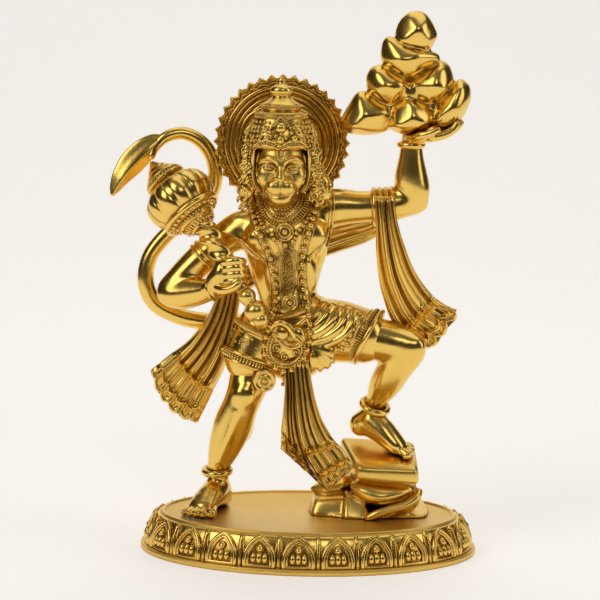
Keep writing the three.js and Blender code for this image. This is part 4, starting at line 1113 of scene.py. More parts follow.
def knob(centre, size, sides=24):
    turn = np.radians(np.linspace(-84, 84, 13))
    return turned(centre, towardsViewer, [(size * math.cos(t), size * math.sin(t)) for t in turn], sides)


def crownKnob(x, z, size, proud=0.3):
    return knob(crownFront([(x, z)], proud)[0], size)


rosette = [crownKnob(-6.93 + 1.05 * math.cos(t), 74.95 + 1.05 * math.sin(t), 0.44)
           for t in np.radians(range(20, 380, 60))]
crownBalls = [crownKnob(x, z, size, proud) for x, z, size, proud in (
    (-6.9, 77.2, 1.15, 0.2), (-6.93, 74.95, 0.8, 0.65), (-9.65, 75.2, 0.66, 0.3), (-4.15, 75.2, 0.66, 0.3),
    (-9, 76.4, 0.45, 0.3), (-4.75, 76.3, 0.45, 0.3), (-10.9, 74.9, 0.45, 0.3), (-2.9, 74.9, 0.45, 0.3))]
makePiece("crownJewels", crownBalls + rosette)
strap = [(5.3, -3.5, 5.2), (5.5, -3.4, 3.6), (5.55, -3.2, 2), (5.4, -3.1, 0), (4.95, -3.2, -1.8),
         (4.1, -3.5, -3.3)]
straps = [[onFace(side * x, y, z) for x, y, z in strap] for side in (-1, 1)]
wires("faceStraps", [smoothRows(strap, 6) for strap in straps], 0.42)
strapBeads = [smoothRows(np.array(strap) + (side * 0.62, 0.35, 0), 6)
              for side, strap in zip((-1, 1), straps)]
beads("strapBeads", strapBeads, 0.62, 0.3, chasedGold)
makePiece("earrings", [band((-13.6, -2, 69.9), (0.35, -1, 0), (0.62, 0.95), 0.26, 28, 10),
                       band((0.2, -2, 69.3), (-0.35, -1, 0), (0.6, 0.9), 0.26, 28, 10)])

print("jewellery")

chest = [torso, dress]
rightStrand = [(-13.2, 63.4), (-12.6, 61.3), (-11.8, 59.05), (-11.05, 57.1), (-10.4, 55.9), (-9.7, 54.3),
               (-9, 52.8), (-8.4, 51.3), (-8, 49.5), (-7.66, 47.9), (-7.46, 46), (-7.3, 43.9),
               (-7.4, 41.7), (-8, 39.8)]
leftStrand = [(0.7, 63.5), (0.45, 62), (-0.1, 60.5), (-0.5, 59), (-0.95, 57.3), (-1.4, 55.8),
              (-1.85, 54.3), (-2.1, 52.6), (-2.15, 50.9), (-2.2, 49.2), (-2.1, 47.7), (-1.9, 45.8),
              (-1.5, 44.2), (-1, 42.4)]
loopStrand = [(-8, 39.8), (-8.5, 37.6), (-9.1, 36), (-9.4, 34), (-8.9, 32.2), (-8, 31), (-6.5, 29.9),
              (-5, 29.5), (-3.2, 30.2), (-2.1, 31.4), (-1.2, 33.2), (-0.65, 35), (-0.57, 36.9),
              (-0.5, 38.7), (-0.7, 40.4), (-1, 42.4)]


# A strand's own edge, a steady distance to one side of it
def beside(drawn, distance):
    drawn = evenly(smoothRows(drawn, 6), 0.3)
    along = unit(np.gradient(drawn, axis=0))
    return drawn + distance * np.column_stack((-along[:, 1], along[:, 0]))


garland = {"pitch": 1.64, "bead": 0.6, "edge": 0.86}
strandLines = [laid(chest, rightStrand, 0.62), laid(chest, leftStrand, 0.62)]
loopLine = laid(chest, loopStrand, 0.6)
loopLine[:, 1] = np.minimum(loopLine[:, 1], -5.3)
beads("garland", strandLines, garland["pitch"], garland["bead"], sides=18)
beads("garlandLoop", [loopLine], garland["pitch"], garland["bead"], sides=18)
cords = [laid(chest, line, 0.12) for line in (rightStrand, leftStrand)] + [loopLine + (0, 0.5, 0)]
wires("garlandCord", cords, 0.26)
edges = [laid(chest, beside(line, shift), 0.05, 0.3, 0)
         for line in (rightStrand, leftStrand) for shift in (-garland["edge"], garland["edge"])]
wires("garlandEdges", edges, 0.14)
loopRims = [laid(chest, ovalPoints(-5.1, 34.2, wide, 1.04 * wide, 125, 415, 30), 0.35, 0.3, 2)
            for wide in (3.75, 3.42, 3.1)]
for rim in loopRims:
    rim[:, 1] = np.minimum(rim[:, 1], -5.3)
wires("loopRim", loopRims[::2], 0.22)
beads("loopBeads", [loopRims[1]], 0.55, (0.2, 0.28, 0.3), chasedGold)
loopScrolls = [(-6.9, 33.9, 1.1, 0.4, 1), (-3.1, 33.2, 1, 2.6, -1), (-5.3, 32.2, 0.8, 1.6, 1),
               (-6.9, 32.2, 0.6, 3, -1)]
wires("loopScrolls", [laid(chest, scroll(*drawn), 0.2, 0.12, 0) for drawn in loopScrolls], 0.24, chasedGold)

collar = {"middle": np.array((-6.2, 65.2)), "chokerRows": 6, "rib": (0.2, 0.42, 0.62)}
collarInner = np.array([(-10.43, 63.74), (-10.28, 62.03), (-9.52, 60.58), (-8.28, 59.2), (-6.2, 58.6),
                        (-4.37, 59.3), (-2.94, 60.7), (-2, 62.44), (-1.9, 63.91)])
collarOuter = np.array([(-11.5, 63.4), (-11.1, 61.5), (-10.1, 59.5), (-8.6, 58.1), (-6.1, 57.3),
                        (-3.9, 58.2), (-2.3, 59.6), (-1.2, 61.3), (-0.9, 63.4)])
fringeLeft = [(-11.3, 60), (-10.4, 58.3), (-9.2, 57.1), (-8.2, 56.3), (-7.9, 55.4)]
fringeRight = [(-0.9, 60), (-1.7, 58.6), (-2.8, 57.4), (-3.5, 56.6), (-3.7, 55.7)]
beads("collarRibs", [laid(chest, (collarInner + collarOuter) / 2, 0.15)], 0.56, collar["rib"], chasedGold)
wires("collarRims", [laid(chest, collarInner, 0.25), laid(chest, collarOuter, 0.1)], 0.22)
beads("collarFringe", [laid(chest, fringeLeft, 0.25), laid(chest, fringeRight, 0.25)], 0.95, 0.44, sides=18)
chokerLines = []
for row in range(collar["chokerRows"]):
    part = 0.9 - 0.13 * row
    chokerLines.append(laid(chest, collar["middle"] + (collarInner - collar["middle"]) * part, 0.1))
beads("choker", chokerLines, 0.6, 0.29, chasedGold)


# Round medallion of rings about a boss, facing the viewer
def medal(clays, x, z, size, lift=0.3):
    depth = min(clay.front(np.array([x]), np.array([z]))[0] for clay in clays)
    steps = [(1, -0.35), (1, 0.12), (0.94, 0.24), (0.84, 0.24), (0.78, 0.08), (0.68, 0.08), (0.62, 0.26),
             (0.52, 0.28), (0.46, 0.1), (0.36, 0.1), (0.32, 0.34), (0.24, 0.5), (0.12, 0.58), (0.03, 0.6)]
    profile = [(radius * size, height * size * 0.8) for radius, height in steps]
    return turned((x, depth - lift, z), towardsViewer, profile, 56)


makePiece("chestMedallion", [medal(chest, -5.75, 56.8, 1.85, 0.6), medal(chest, -4.5, 42.9, 1.6, 0.2)])
beads("throatBeads", [laid(chest, [(-7.2, 54.9), (-5.6, 54.2), (-4.1, 55)], 0.35, 0.25, 2)], 1.5, 0.52,
      sides=18)


# The worn brocade down the middle of the chest, as crossed waves
def brocade(u, v):
    total = 0.0
    for step in range(7):
        a, b, c = math.cos(step * 2.4), math.sin(step * 2.4), step * 1.7
        total = total + np.sin(a * 26 * u + b * 60 * v + c) * np.sin(b * 19 * u - a * 47 * v + 2 * c)
    return 0.1 * np.clip(total, -1.4, 1.4)


panelLeft = laid(chest, [(-6, 53), (-6.2, 51.3), (-6.3, 49.4), (-6.1, 47), (-5.8, 44.6)], -0.05)
panelRight = laid(chest, [(-4.9, 53), (-4.3, 51.4), (-3.9, 49.4), (-3.7, 47), (-3.6, 44.4)], -0.05)
panelLook = {"thickness": 0.5, "pleat": 0, "flutes": 1, "columns": 36, "rows": 72}
makePiece("brocadePanel", [pleated(panelLeft, panelRight, panelLook, brocade)], darkGold)
lapels = [laid(chest, line, 0) for line in (
    [(-7.5, 55.2), (-7, 53.6), (-6.6, 52.2), (-6.7, 50.4), (-6.6, 48.4), (-6.2, 44.6)],
    [(-3.4, 55.4), (-3.9, 53.8), (-4, 52.2), (-3.5, 50.4), (-3.3, 48.4), (-3.3, 44.6)],
    [(-7.4, 52.2), (-6.6, 53), (-5.8, 53.9)], [(-3.2, 52.4), (-3.9, 53.2), (-4.6, 54)])]
wires("lapels", lapels, 0.2)
wires("chestLines", [
    laid(chest, [(2.9, 64.6), (3.1, 62.3), (3, 59.4), (2.7, 56.2), (1.7, 54.2), (0.2, 53), (-0.9, 51.8)],
         0.02),
    laid(chest, [(3.6, 64.4), (3.8, 62), (3.6, 59), (3.3, 56.2), (2.7, 53.6)], 0),
    laid(chest, [(-17.9, 56.2), (-16.4, 55.8), (-15, 55), (-13.9, 54.5), (-12.5, 53.4), (-11, 52.2),
                 (-9.6, 51)], 0),
], 0.26)

print("hems, bands and belt")

# At the right hem, left hem, ankles, wrists and upper arm
bands = [
    band((-12.3, 0.4, 31.5), (0.36, 0.1, 1), (5.3, 5.4), 0.42),
    band((-12.8, 0.4, 29.9), (0.36, 0.1, 1), (5.2, 5.3), 0.42),
    band((11.2, -1.5, 36), (1, -0.22, -0.5), (5.75, 5.5), 0.5),
    band((9.2, -0.9, 36.5), (1, -0.22, -0.5), (5.5, 5.3), 0.28),
    band((-18.5, 1.5, 7.9), (-0.05, -0.1, 1), (2.55, 2.75), 0.72),
    band((12.9, 2.9, 21.4), (0.25, -0.35, 0.9), (2.6, 2.6), 0.7),
    band((18.7, 0.7, 74), (0, 0, 1), (2.2, 2.15), 0.66),
    band((-19.7, -2.3, 45.3), (0.85, -0.5, 0.2), (2.2, 2.2), 0.36),
    band((-19, -2.7, 45.6), (0.85, -0.5, 0.2), (2.05, 2.1), 0.36),
    band((-21.2, 3.8, 51.3), (0.72, 0, 0.69), (3.35, 3.4), 0.3),
    band((-22, 3.8, 50.5), (0.72, 0, 0.69), (3.35, 3.4), 0.3),
]
makePiece("bands", bands)


def circleAbout(centre, axis, radii, count=90):
    axis, across, other = framed(axis)
    turn = np.linspace(0, 2 * math.pi, count)
    wide, tall = np.outer(np.cos(turn) * radii[0], across), np.outer(np.sin(turn) * radii[1], other)
    return np.asarray(centre) + wide + tall


# The twisted roll of the right hem, and the ticked strip of the left
beads("hemRoll", [circleAbout((-12.55, 0.4, 30.7), (0.36, 0.1, 1), (5.3, 5.4))], 0.62, (0.3, 0.62, 0.74),
      chasedGold)
beads("hemTicks", [circleAbout((10.2, -1.2, 36.25), (1, -0.22, -0.5), (5.6, 5.4))], 0.5, (0.17, 0.3, 0.62),
      chasedGold)
beltLine = laid([dress], [(-15, 39), (-13.8, 38.4), (-12.3, 37.8), (-10.7, 37.2), (-9.6, 36.6)], 0)
beads("beltTicks", [beltLine], 0.5, (0.16, 0.3, 0.62), chasedGold)
# Small flowers along the border of the dress, from the hip to the garland
florals = [(9.9, 40.6), (8.9, 39.4), (8.2, 38.25), (7.4, 37.1), (6.55, 36.3), (7, 35.2), (5.9, 34.6),
           (4.9, 34.2), (3.9, 34.2)]
flowers = []
for index, (x, z) in enumerate(florals):
    depth = dress.front(np.array([x]), np.array([z]))[0]
    flowers.append(knob((x, depth - 0.05, z), 0.42 + 0.14 * (index % 2), 16))
    for turn in np.radians(range(0, 360, 72)):
        flowers.append(knob((x + 0.62 * math.cos(turn), depth + 0.02, z + 0.62 * math.sin(turn)), 0.2, 8))
makePiece("hemFlowers", flowers, chasedGold)
fanTicks = [laid([dress], [(3.6, 33.6), (4.3, 32.6), (4.2, 31.4)], -0.05),
            laid([dress], [(3.7, 30.9), (2.7, 30.1), (1.6, 29.7)], -0.05)]
beads("fanTicks", fanTicks, 0.4, (0.14, 0.24, 0.4), chasedGold)

# Leaves engraved on the right thigh's sleeve
leaves = []
for index in range(30):
    x, z = -15.6 + 5.8 * random.random(), 33.2 + 3.6 * random.random()
    turn = random.uniform(0, math.pi)
    drawn = [(x, z), (x + 0.35 * math.cos(turn), z + 0.35 * math.sin(turn)),
             (x + 0.5 * math.cos(turn + 0.8), z + 0.7 * math.sin(turn + 0.8))]
    leaves.append(laid([dress], drawn, 0, 0.15, 3))
wires("thighLeaves", leaves, 0.13, chasedGold)

hipMedal = turned((-9.2, -4.9, 27.5), (0, -1, -0.05),
                  [(2.2, -0.9), (2.25, 0), (2.1, 0.25), (1.75, 0.25), (1.65, 0.1), (1.2, 0.1), (1.1, 0.25),
                   (0.85, 0.25), (0.75, 0.12), (0.55, 0.15), (0.5, 0.45), (0.3, 0.7), (0.05, 0.75)], 56)
makePiece("hipMedallion", [hipMedal])
beads("hipPendants", [laid([dress, legs], [(-6, 28.6), (-5.2, 27.2), (-5.6, 26)], 0.3, 0.2, 2)], 0.9, 0.42,
      sides=18)

print("mace")

# The tip of its finial, the ring at the foot of its head, and the lobes round the head
mace = {"tip": np.array((-32.47, 5.66, 69.1)), "ring": np.array((-24.16, 1, 59.57)), "lobes": 12}
maceAxis = unit(mace["ring"] - mace["tip"])


# Stations along the mace's head, from (distance from the tip, radius)
def alongMace(rows):
    return [(*(mace["tip"] + maceAxis * distance), radius) for distance, radius in rows]


def lobes(angle, progress):
    turn = angle * mace["lobes"] / (2 * math.pi) % 1
    aside = np.minimum(turn, 1 - turn)
    swell = np.sqrt(np.clip(1 - (2 * np.abs(turn - 0.5)) ** 2.4, 0, 1))
    return 0.86 + 0.14 * np.maximum(swell, 0.75 * bump(aside, 0, 0.035))


bulb = swept(alongMace([(5.2, 3.6), (5.7, 4.5), (6.4, 5.6), (7.4, 6.55), (8.8, 7.1), (10.3, 7.15),
                        (11.6, 6.75), (12.6, 6.1), (13.2, 5.5)]), 144, 6, domes=(0, 0), section=lobes)
finial = swept(alongMace([
    (0.1, 0.6), (0.6, 1), (1.1, 1.42), (1.55, 1.9), (1.7, 2.12), (2.2, 2.45), (2.65, 2.9), (2.8, 3.12),
    (3.2, 3.45), (3.55, 3.75), (3.7, 3.95), (3.95, 4), (4.1, 3.8), (4.3, 3.8), (4.5, 4.15), (4.65, 4.33),
    (4.9, 4.35), (5.15, 4.1), (5.4, 3.8),
]), 64, 3, domes=(0.6, 0))
maceRing = band(mace["ring"], maceAxis, (5.75, 5.75), 0.62, 96, 14)
cup = swept(alongMace([(13.2, 5.6), (13.7, 5.4), (14.1, 4.9), (14.5, 4.3), (14.7, 3.9), (15.1, 4),
                       (15.5, 3.6), (16, 2.9), (16.5, 2.4), (17.2, 2.15)]), 64, 4, domes=(0, 0))
cupRing = band(mace["tip"] + maceAxis * 15.3, maceAxis, (3.55, 3.55), 0.42, 72, 10)


def twisted(angle, progress):
    return 1 - 0.3 * np.abs(np.sin(1.5 * angle + progress * 12)) ** 1.2


shaft = swept([(-22.3, -0.2, 57.6, 2.1), (-21.4, -0.75, 56.6, 2.45), (-20, -1.75, 54.8, 2.5),
               (-17.9, -3.2, 51.8, 2.2), (-16.5, -4.2, 49.6, 1.7)], 54, 14, domes=(0, 0), section=twisted)
staff = swept([(-16.9, -3.9, 50.2, 1.3), (-14.7, -5, 47, 1.2), (-13.5, -5.45, 45.2, 1.15),
               (-12.6, -5.8, 43.8, 1.5), (-12.1, -6, 43, 1.25), (-11.6, -6.3, 42.2, 1.5),
               (-10.9, -6.6, 41, 1.9), (-10.1, -7, 39.9, 1.3), (-9.6, -7.2, 39.2, 1)], 36, 6)


def ovoid(centre, axis, size, length):
    turn = np.radians(np.linspace(-86, 86, 15))
    return turned(centre, axis, [(size * math.cos(t), length * math.sin(t)) for t in turn], 36)


# The turned swellings of the staff below the fist
knops = [ovoid((-12.85, -5.7, 44.3), (0.5, -0.2, -0.85), 1.75, 1.7),
         ovoid((-11.1, -6.5, 41.5), (0.5, -0.2, -0.85), 2.35, 2.1),
         ovoid((-10, -7, 39.9), (0.6, -0.2, -0.8), 1.75, 1.6),
         ovoid((-13.7, -5.4, 45.6), (0.5, -0.2, -0.85), 1.45, 0.4)]
makePiece("mace", [bulb, finial, maceRing, cup, cupRing, shaft, staff])
makePiece("knops", knops, softGold)


def aboutMace(distance, radius):
    return circleAbout(mace["tip"] + maceAxis * distance, maceAxis, (radius, radius))


beads("maceTongues", [aboutMace(13.95, 4.95)], 1.3, (0.56, 0.5, 0.72))
beads("maceBeads", [aboutMace(14.75, 4.05), aboutMace(4.35, 3.95)], 0.7, 0.3, chasedGold)
beads("maceRibs", [aboutMace(16.1, 2.75)], 0.72, (0.3, 0.3, 0.8), chasedGold)

print("tail")

tailPath = [
    (-7, 5.6, 37.5, 2.1), (-14, 7.2, 36.9, 2), (-21.6, 8.1, 37.1, 1.8), (-27.1, 8.6, 38.1, 1.7),
    (-31.8, 9, 40.6, 1.7), (-33.7, 9, 44.9, 1.7), (-32.9, 9.3, 50, 1.6), (-29.4, 9.7, 54.6, 1.6),
    (-25, 10.2, 58, 1.6), (-21.6, 10, 61.5, 1.5), (-20, 9.6, 65.6, 1.5), (-20.6, 9.4, 70, 1.45),
    (-22.9, 9.2, 73.3, 1.4), (-26.3, 8.8, 74.9, 1.3), (-29.6, 8.2, 74.3, 1.2), (-31.8, 7.5, 72.3, 1),
    (-32.6, 6.8, 70.4, 0.8),
]


def leafRidges(angle, progress):
    return 1 - 0.28 * np.abs(np.sin(2 * angle + 0.5)) ** 0.8


tuft = swept([(-30.4, 7.8, 73.9, 0.9, 0.8), (-32.2, 7.7, 73.1, 1.9, 1.3), (-34.2, 7.3, 71.4, 2.6, 1.6),
              (-36.6, 6.9, 68.9, 2.7, 1.6), (-38.6, 6.5, 66.2, 2, 1.3), (-39.8, 6.2, 63.9, 1.2, 0.9),
              (-40.2, 6, 62.9, 0.6, 0.6)], 64, 8, section=leafRidges)
makePiece("tail", [swept(tailPath, 28, 8), tuft])

print("scarves and sash")

clothLook = {"thickness": 0.9, "pleat": 1.45, "flutes": 6, "columns": 101, "rows": 104, "sharp": 0.75,
             "drift": 0.22, "fine": 0.2}


# Two rows of rounded panels along the lower edge: raised lines that sag between posts, with knots.
# The upper row starts at first, and the lower one at the part second of what is left.
def hemPanels(first, panels, slope=0.0, second=0.45, ticks=0.3, shift=0.0, proud=1.0):
    def relief(u, v):
        start = first + slope * u
        aside = np.abs(((u + shift) * panels) % 1 - 0.5)
        sag = 0.02 * np.sin(math.pi * aside)
        middle = start + second * (1 - start)
        lines = bump(v, start + sag, 0.013) + bump(v, middle + sag, 0.012) + bump(v, 0.985, 0.014)
        posts = bump(aside, 0, 0.1) + ticks * bump(aside, 0.27, 0.05)
        knots = bump(aside, 0, 0.13) * (bump(v, start, 0.02) + bump(v, middle, 0.018))
        return proud * (0.65 * lines + 0.6 * posts * ramp(v, start, start + 0.012) + 0.45 * knots)
    return relief


hangingRight = pleated(
    [(-18.3, 4, 46.2), (-20.6, 4.1, 39.6), (-24.2, 4.3, 34.4), (-28.2, 4.4, 31), (-31.6, 4.4, 28.4)],
    [(-14, 3.4, 46.2), (-14.7, 3.4, 40.4), (-16.9, 3.8, 30), (-19.5, 4, 23.9), (-22.1, 4.2, 17.9)],
    {**clothLook, "flutes": 5, "drift": 0.1, "scallop": 0.8, "bulge": 2.9, "hem": 0.72},
    hemPanels(0.74, 5, 0, 0.6))
hangingLeft = pleated(
    [(11.6, -1.6, 64), (12, -1.6, 58.8), (12.4, -0.7, 51.3), (13.6, 0.2, 44.6), (16.6, 1, 37.6),
     (22.4, 1.8, 33.4)],
    [(15.6, -1.6, 64), (16.2, -1.6, 59.6), (18, -1.1, 54), (20.6, 0.2, 48.4), (24.6, 1.2, 43.6),
     (28.3, 1.8, 41.6)],
    {**clothLook, "flutes": 3, "shift": 1 / 6, "drift": 0.1, "scallop": 1.3, "bulge": 0.4, "hem": 0.82,
     "fine": 0.3},
    hemPanels(0.81, 3, 0, 0.6, 0.25, 1 / 6, 1.15))
sashLook = {**clothLook, "thickness": 0.7, "pleat": 0.95, "scallop": 0.6, "top": 0.7, "drift": 0.12,
            "fine": 0.14}
cascade = pleated(
    [(-5.6, -4.3, 31.5), (-5.2, -4.9, 27), (-5.5, -5.4, 21), (-5.9, -5.6, 17), (-6.2, -5.7, 15.2)],
    [(-3.2, -4.4, 31.5), (-2.8, -5, 27), (-2.4, -5.5, 20), (-1.4, -5.8, 15), (0.6, -6, 10.5),
     (3.4, -6.1, 6.7)],
    {**sashLook, "flutes": 4, "scallop": 1.2, "hem": 0.84, "columns": 61}, hemPanels(0.84, 4, 0, 0.5, 0.1))
mainPanel = pleated(
    [(-3.8, -4.9, 31.5), (-3.3, -5.5, 27), (-3, -5.9, 23.2), (-2.6, -6.2, 19), (-1.9, -6.5, 15.5),
     (-0.6, -6.7, 12.6), (1.2, -6.8, 9.6), (3.2, -6.9, 6.4)],
    [(-0.5, -4.9, 31.5), (-0.1, -5.5, 28.9), (0.8, -5.9, 24.7), (2.1, -6.2, 20.7), (3.6, -6.5, 17.9),
     (4.8, -6.7, 16.2), (6.2, -6.8, 14.8), (7.1, -6.9, 13.6), (8.5, -6.9, 11.4)],
    {**sashLook, "flutes": 4, "hem": 0.68, "columns": 77}, hemPanels(0.66, 4, 0.09, 0.62, 0.2))
wrapRows = []
for index in range(29):
    t = index / 28
    ridge = abs(math.sin(math.pi * 4 * t)) ** 0.7
    wrapRows.append((11.2 + 4.7 * t, 2.3, 61.5 + 0.3 * t, 3.45 + 0.55 * ridge))
wrap = swept(wrapRows, 48, 2, domes=(0, 0))
swag = pleated(
    [(14.6, 5, 61.6), (11, 6.2, 60.4), (4, 7, 58.8), (-5, 7.2, 55.4), (-14, 5.8, 48.4)],
    [(14.6, 5, 57.8), (11.4, 6.2, 54.4), (4.4, 7, 51.6), (-5, 7.2, 48), (-15.4, 5.8, 42.8)],
    {**clothLook, "flutes": 5, "pleat": 0.6, "columns": 61, "rows": 56})
makePiece("scarfRight", [hangingRight])
makePiece("scarfLeft", [hangingLeft, wrap])
makePiece("scarfBehind", [swag])
makePiece("sash", [cascade, mainPanel])

print("mountain and rock")

# Each boulder: its outline from the front, its depth, and facets on its front as (x, z, how far out)
boulders = [
    {"outline": [(15, 95.6), (15.6, 97.8), (17, 99.4), (19.2, 100.15), (21.6, 99.4), (22.3, 97.7),
                 (23.6, 96), (22.8, 94.2), (21.6, 92.4), (17.4, 92.4), (15.4, 93.8)],
     "y": 0.2, "depth": 3.9,
     "facets": [(-0.62, 0.35, 0.86), (0.05, -0.32, 0.92), (0.68, 0.12, 0.88), (0.1, 0.75, 0.9)]},
    {"outline": [(12.3, 92.4), (12.7, 94.3), (13.8, 95.2), (16.4, 94.4), (21.6, 92.8), (23.8, 91.6),
                 (23.9, 90.4), (21.6, 88.6), (18.4, 86.8), (16.2, 86.9), (13.6, 88.7), (12.4, 90.4)],
     "y": 0.2, "depth": 4.8,
     "facets": [(-0.7, 0.2, 0.92), (0, 0.62, 0.8), (0.1, -0.5, 0.92), (0.6, -0.25, 0.9),
                (-0.45, -0.45, 0.95)]},
    {"outline": [(9.6, 87.2), (10.6, 89), (12.9, 89.6), (17.4, 87.2), (18.4, 85.7), (17.2, 83.6),
                 (14.6, 81.5), (12.9, 81.7), (10, 84.2)],
     "y": 0.4, "depth": 4.9,
     "facets": [(-0.6, 0.1, 0.9), (0.15, 0.66, 0.86), (0.35, -0.1, 0.95), (-0.1, -0.62, 0.88)]},
    {"outline": [(17.9, 86), (20.4, 88.4), (23.9, 90.6), (25.6, 89.8), (26.7, 86.8), (26.2, 84.2),
                 (24.2, 82.6), (21.4, 81.8), (19, 82.8)],
     "y": 0.2, "depth": 5,
     "facets": [(-0.45, 0.42, 0.9), (0.45, 0.35, 0.92), (0.1, -0.45, 0.93), (-0.55, -0.3, 0.92)]},
    {"outline": [(4.6, 78.2), (6, 81.2), (7.8, 84.1), (9.9, 84.3), (14.4, 81.4), (15.2, 80), (13.9, 76.6),
                 (9.1, 75.8), (5.9, 76.4)],
     "y": 0.4, "depth": 4.4,
     "facets": [(-0.66, 0.3, 0.85), (0.3, 0.6, 0.85), (0.1, -0.2, 0.98), (0.5, -0.5, 0.9)]},
    {"outline": [(13.9, 77.7), (15.1, 81.5), (17.6, 83.9), (19.9, 83), (22.5, 81.4), (23.2, 79),
                 (22, 77.2), (19.3, 76.3), (16.2, 76.3)],
     "y": -0.6, "depth": 4.6, "facets": [(-0.55, 0.35, 0.88), (0.45, 0.45, 0.86), (0, -0.35, 0.95)]},
    {"outline": [(22, 78.9), (23.4, 82.4), (26.3, 86), (28, 87.1), (29.7, 85.9), (30.1, 83.6),
                 (29.2, 80.7), (27.3, 78), (25, 77), (22.9, 77.4)],
     "y": 0.4, "depth": 4.8,
     "facets": [(-0.55, 0.4, 0.88), (0.5, 0.1, 0.92), (0, -0.4, 0.94), (-0.2, 0.05, 1)]},
]


# Planes from an outline: each side is bevelled to the front and the back, and facets close both faces
def pressBoulder(clay, shape, softness=0.28, blend=0.22):
    outline = np.array(shape["outline"], float)
    middle, half = outline.mean(0), np.ptp(outline, axis=0) / 2
    offsets, normals = [], []
    for start, end in zip(outline, np.roll(outline, -1, axis=0)):
        side = np.array((end[1] - start[1], start[0] - end[0]))
        side = unit(side) * np.sign(side @ (start - middle))
        reach = side @ (start - middle)
        for lean in (-0.42, 0.42):
            normals.append((side[0] * math.cos(lean), math.sin(lean), side[1] * math.cos(lean)))
            offsets.append(reach * math.cos(lean) + 0.12)
    for x, z, out in shape["facets"]:
        for way in (-1, 1):
            normal = unit(np.array((x, 0.85 * way, z)))
            spread = math.hypot(normal[0] * half[0], normal[2] * half[1])
            normals.append(normal)
            offsets.append(out * math.hypot(0.8 * spread, shape["depth"] * normal[1]) * 0.92)
    centre = (middle[0], shape["y"], middle[1])
    reach = (half[0] + 1, shape["depth"] + 1, half[1] + 1)
    clay.facets(centre, reach, np.array(normals), np.array(offsets) + softness * 1.1, softness, blend)


peak = Clay((3, -6.5, 75), (31.5, 9.5, 101.5), grain=0.32)
for shape in boulders:
    pressBoulder(peak, shape)
# Stones behind the boulders and in the gaps between them
fillers = [((18, 3.6, 85), (4.4, 4.2, 4.4)), ((21.6, 4.2, 80.8), (5.4, 4.2, 3.8)),
           ((14.2, 4.4, 80.4), (5.2, 3.8, 3.6)), ((18.2, 3, 91), (4, 3.4, 3.6)),
           ((8.6, 3, 79.4), (3.2, 2.8, 2.6)), ((18.1, 1, 84.4), (2.7, 3.7, 3.3)),
           ((21.9, 1.3, 81.3), (2.6, 3.8, 2.6)), ((14.8, 1.5, 81.2), (2.4, 3.4, 2.4))]
for index, (centre, radii) in enumerate(fillers):
    peak.stone(centre, radii, 11 + index, 13, 0.35, 0.3)
makePiece("mountain", [peak.skin()])

# A slab under the raised foot, on blocks and rubble
rock = Clay((-0.5, -8.8, -0.6), (27, 11, 17), grain=0.31)
rock.block([(5.9, 6.4, 14.7), (21.3, 6.4, 13.8), (21.7, -4.2, 10.9), (21.4, -5.2, 10.2), (9.9, -5.2, 10.3),
            (9.2, -4.4, 11), (6, 6.4, 9.4), (21.8, 6.4, 8.6), (22.2, -4.7, 6.6), (20.8, -5.1, 6.6),
            (10.2, -5, 7.3), (8.6, -4.4, 7.6)])
rock.block([(7, 6.4, 9.6), (20.8, 6.4, 9), (21.6, -3, 8), (10.4, -3, 8.4), (6, 7, 2), (21.6, 7.4, 2),
            (22.4, -2.4, 2), (9, -2.4, 2)], 0.45)
rock.block([(2.6, 8, 2.2), (23, 8.4, 2.4), (24.2, 0.6, 1.2), (23.6, -3.6, 0.9), (9.6, -5.6, 0.8),
            (3.6, -3.6, 1), (1.4, 9.4, -1), (23.9, 9.6, -1), (25.2, 0.8, -1), (24.4, -4.6, -1),
            (7, -6.6, -1), (2.6, -4.6, -1)], 0.35)
rubble = [
    {"outline": [(8, 7.9), (12, 7.5), (17, 7.2), (21.7, 6.7), (22.1, 5.3), (19.8, 3.5), (15.2, 2.1),
                 (11.2, 2.4), (8.6, 4.1), (7.4, 6.2)],
     "y": -2, "depth": 4.2, "softness": 0.75,
     "facets": [(-0.05, 0.5, 0.8), (-0.5, -0.2, 0.95), (0.5, -0.3, 0.9)]},
    {"outline": [(11.8, 0.1), (13.8, 1.6), (17.2, 2.5), (21.7, 4.8), (22.1, 3.4), (20.8, 1.5),
                 (17.4, 0.2), (12.6, -0.6)],
     "y": -2.6, "depth": 3.6, "facets": [(-0.1, 0.6, 0.85), (0.1, -0.3, 0.95)]},
    {"outline": [(0.2, 4.4), (3.5, 6.4), (6.6, 7.3), (8.9, 6.7), (7.8, 4.3), (4.4, 3.2), (1.6, 3.5)],
     "y": 2.4, "depth": 4.2, "facets": [(-0.2, 0.7, 0.8), (0.2, -0.3, 0.9)]},
]
for shape in rubble:
    pressBoulder(rock, shape, shape.get("softness", 0.24), 0.28)
rock.rod([(11.9, -5.6, 0.4, 0.9), (13.6, -5.9, 1.4, 0.85), (16.2, -5.8, 2.3, 0.8), (19, -5.2, 3.1, 0.8),
          (21.4, -4, 4.4, 0.8), (22, -2.6, 5.4, 0.7)], 0.6)
rock.block([(0.8, 3.4, 4.5), (6.6, 4, 5.4), (8.2, -2.8, 4.2), (1.2, -2.2, 3), (-0.5, 3, -1), (6.8, 4.6, -1),
            (8.6, -5, -1), (-0.1, -3.6, -1)], 0.35)
rock.ball((3.7, -5.3, 1.7), (2.6, 2, 1.2), 0.5, carve=True)
rock.block([(6.8, -2.2, 5.8), (9.6, -1.8, 5.6), (12.2, -4.4, 1.6), (6.9, -4.6, 2.6), (6.6, -2, -1),
            (12.8, -2, -1), (12.6, -6, -1), (6.7, -5.9, -1)])
rock.floor(-0.05)
rock.soften(1)
makePiece("rock", [rock.skin()], softGold)

print("halo")

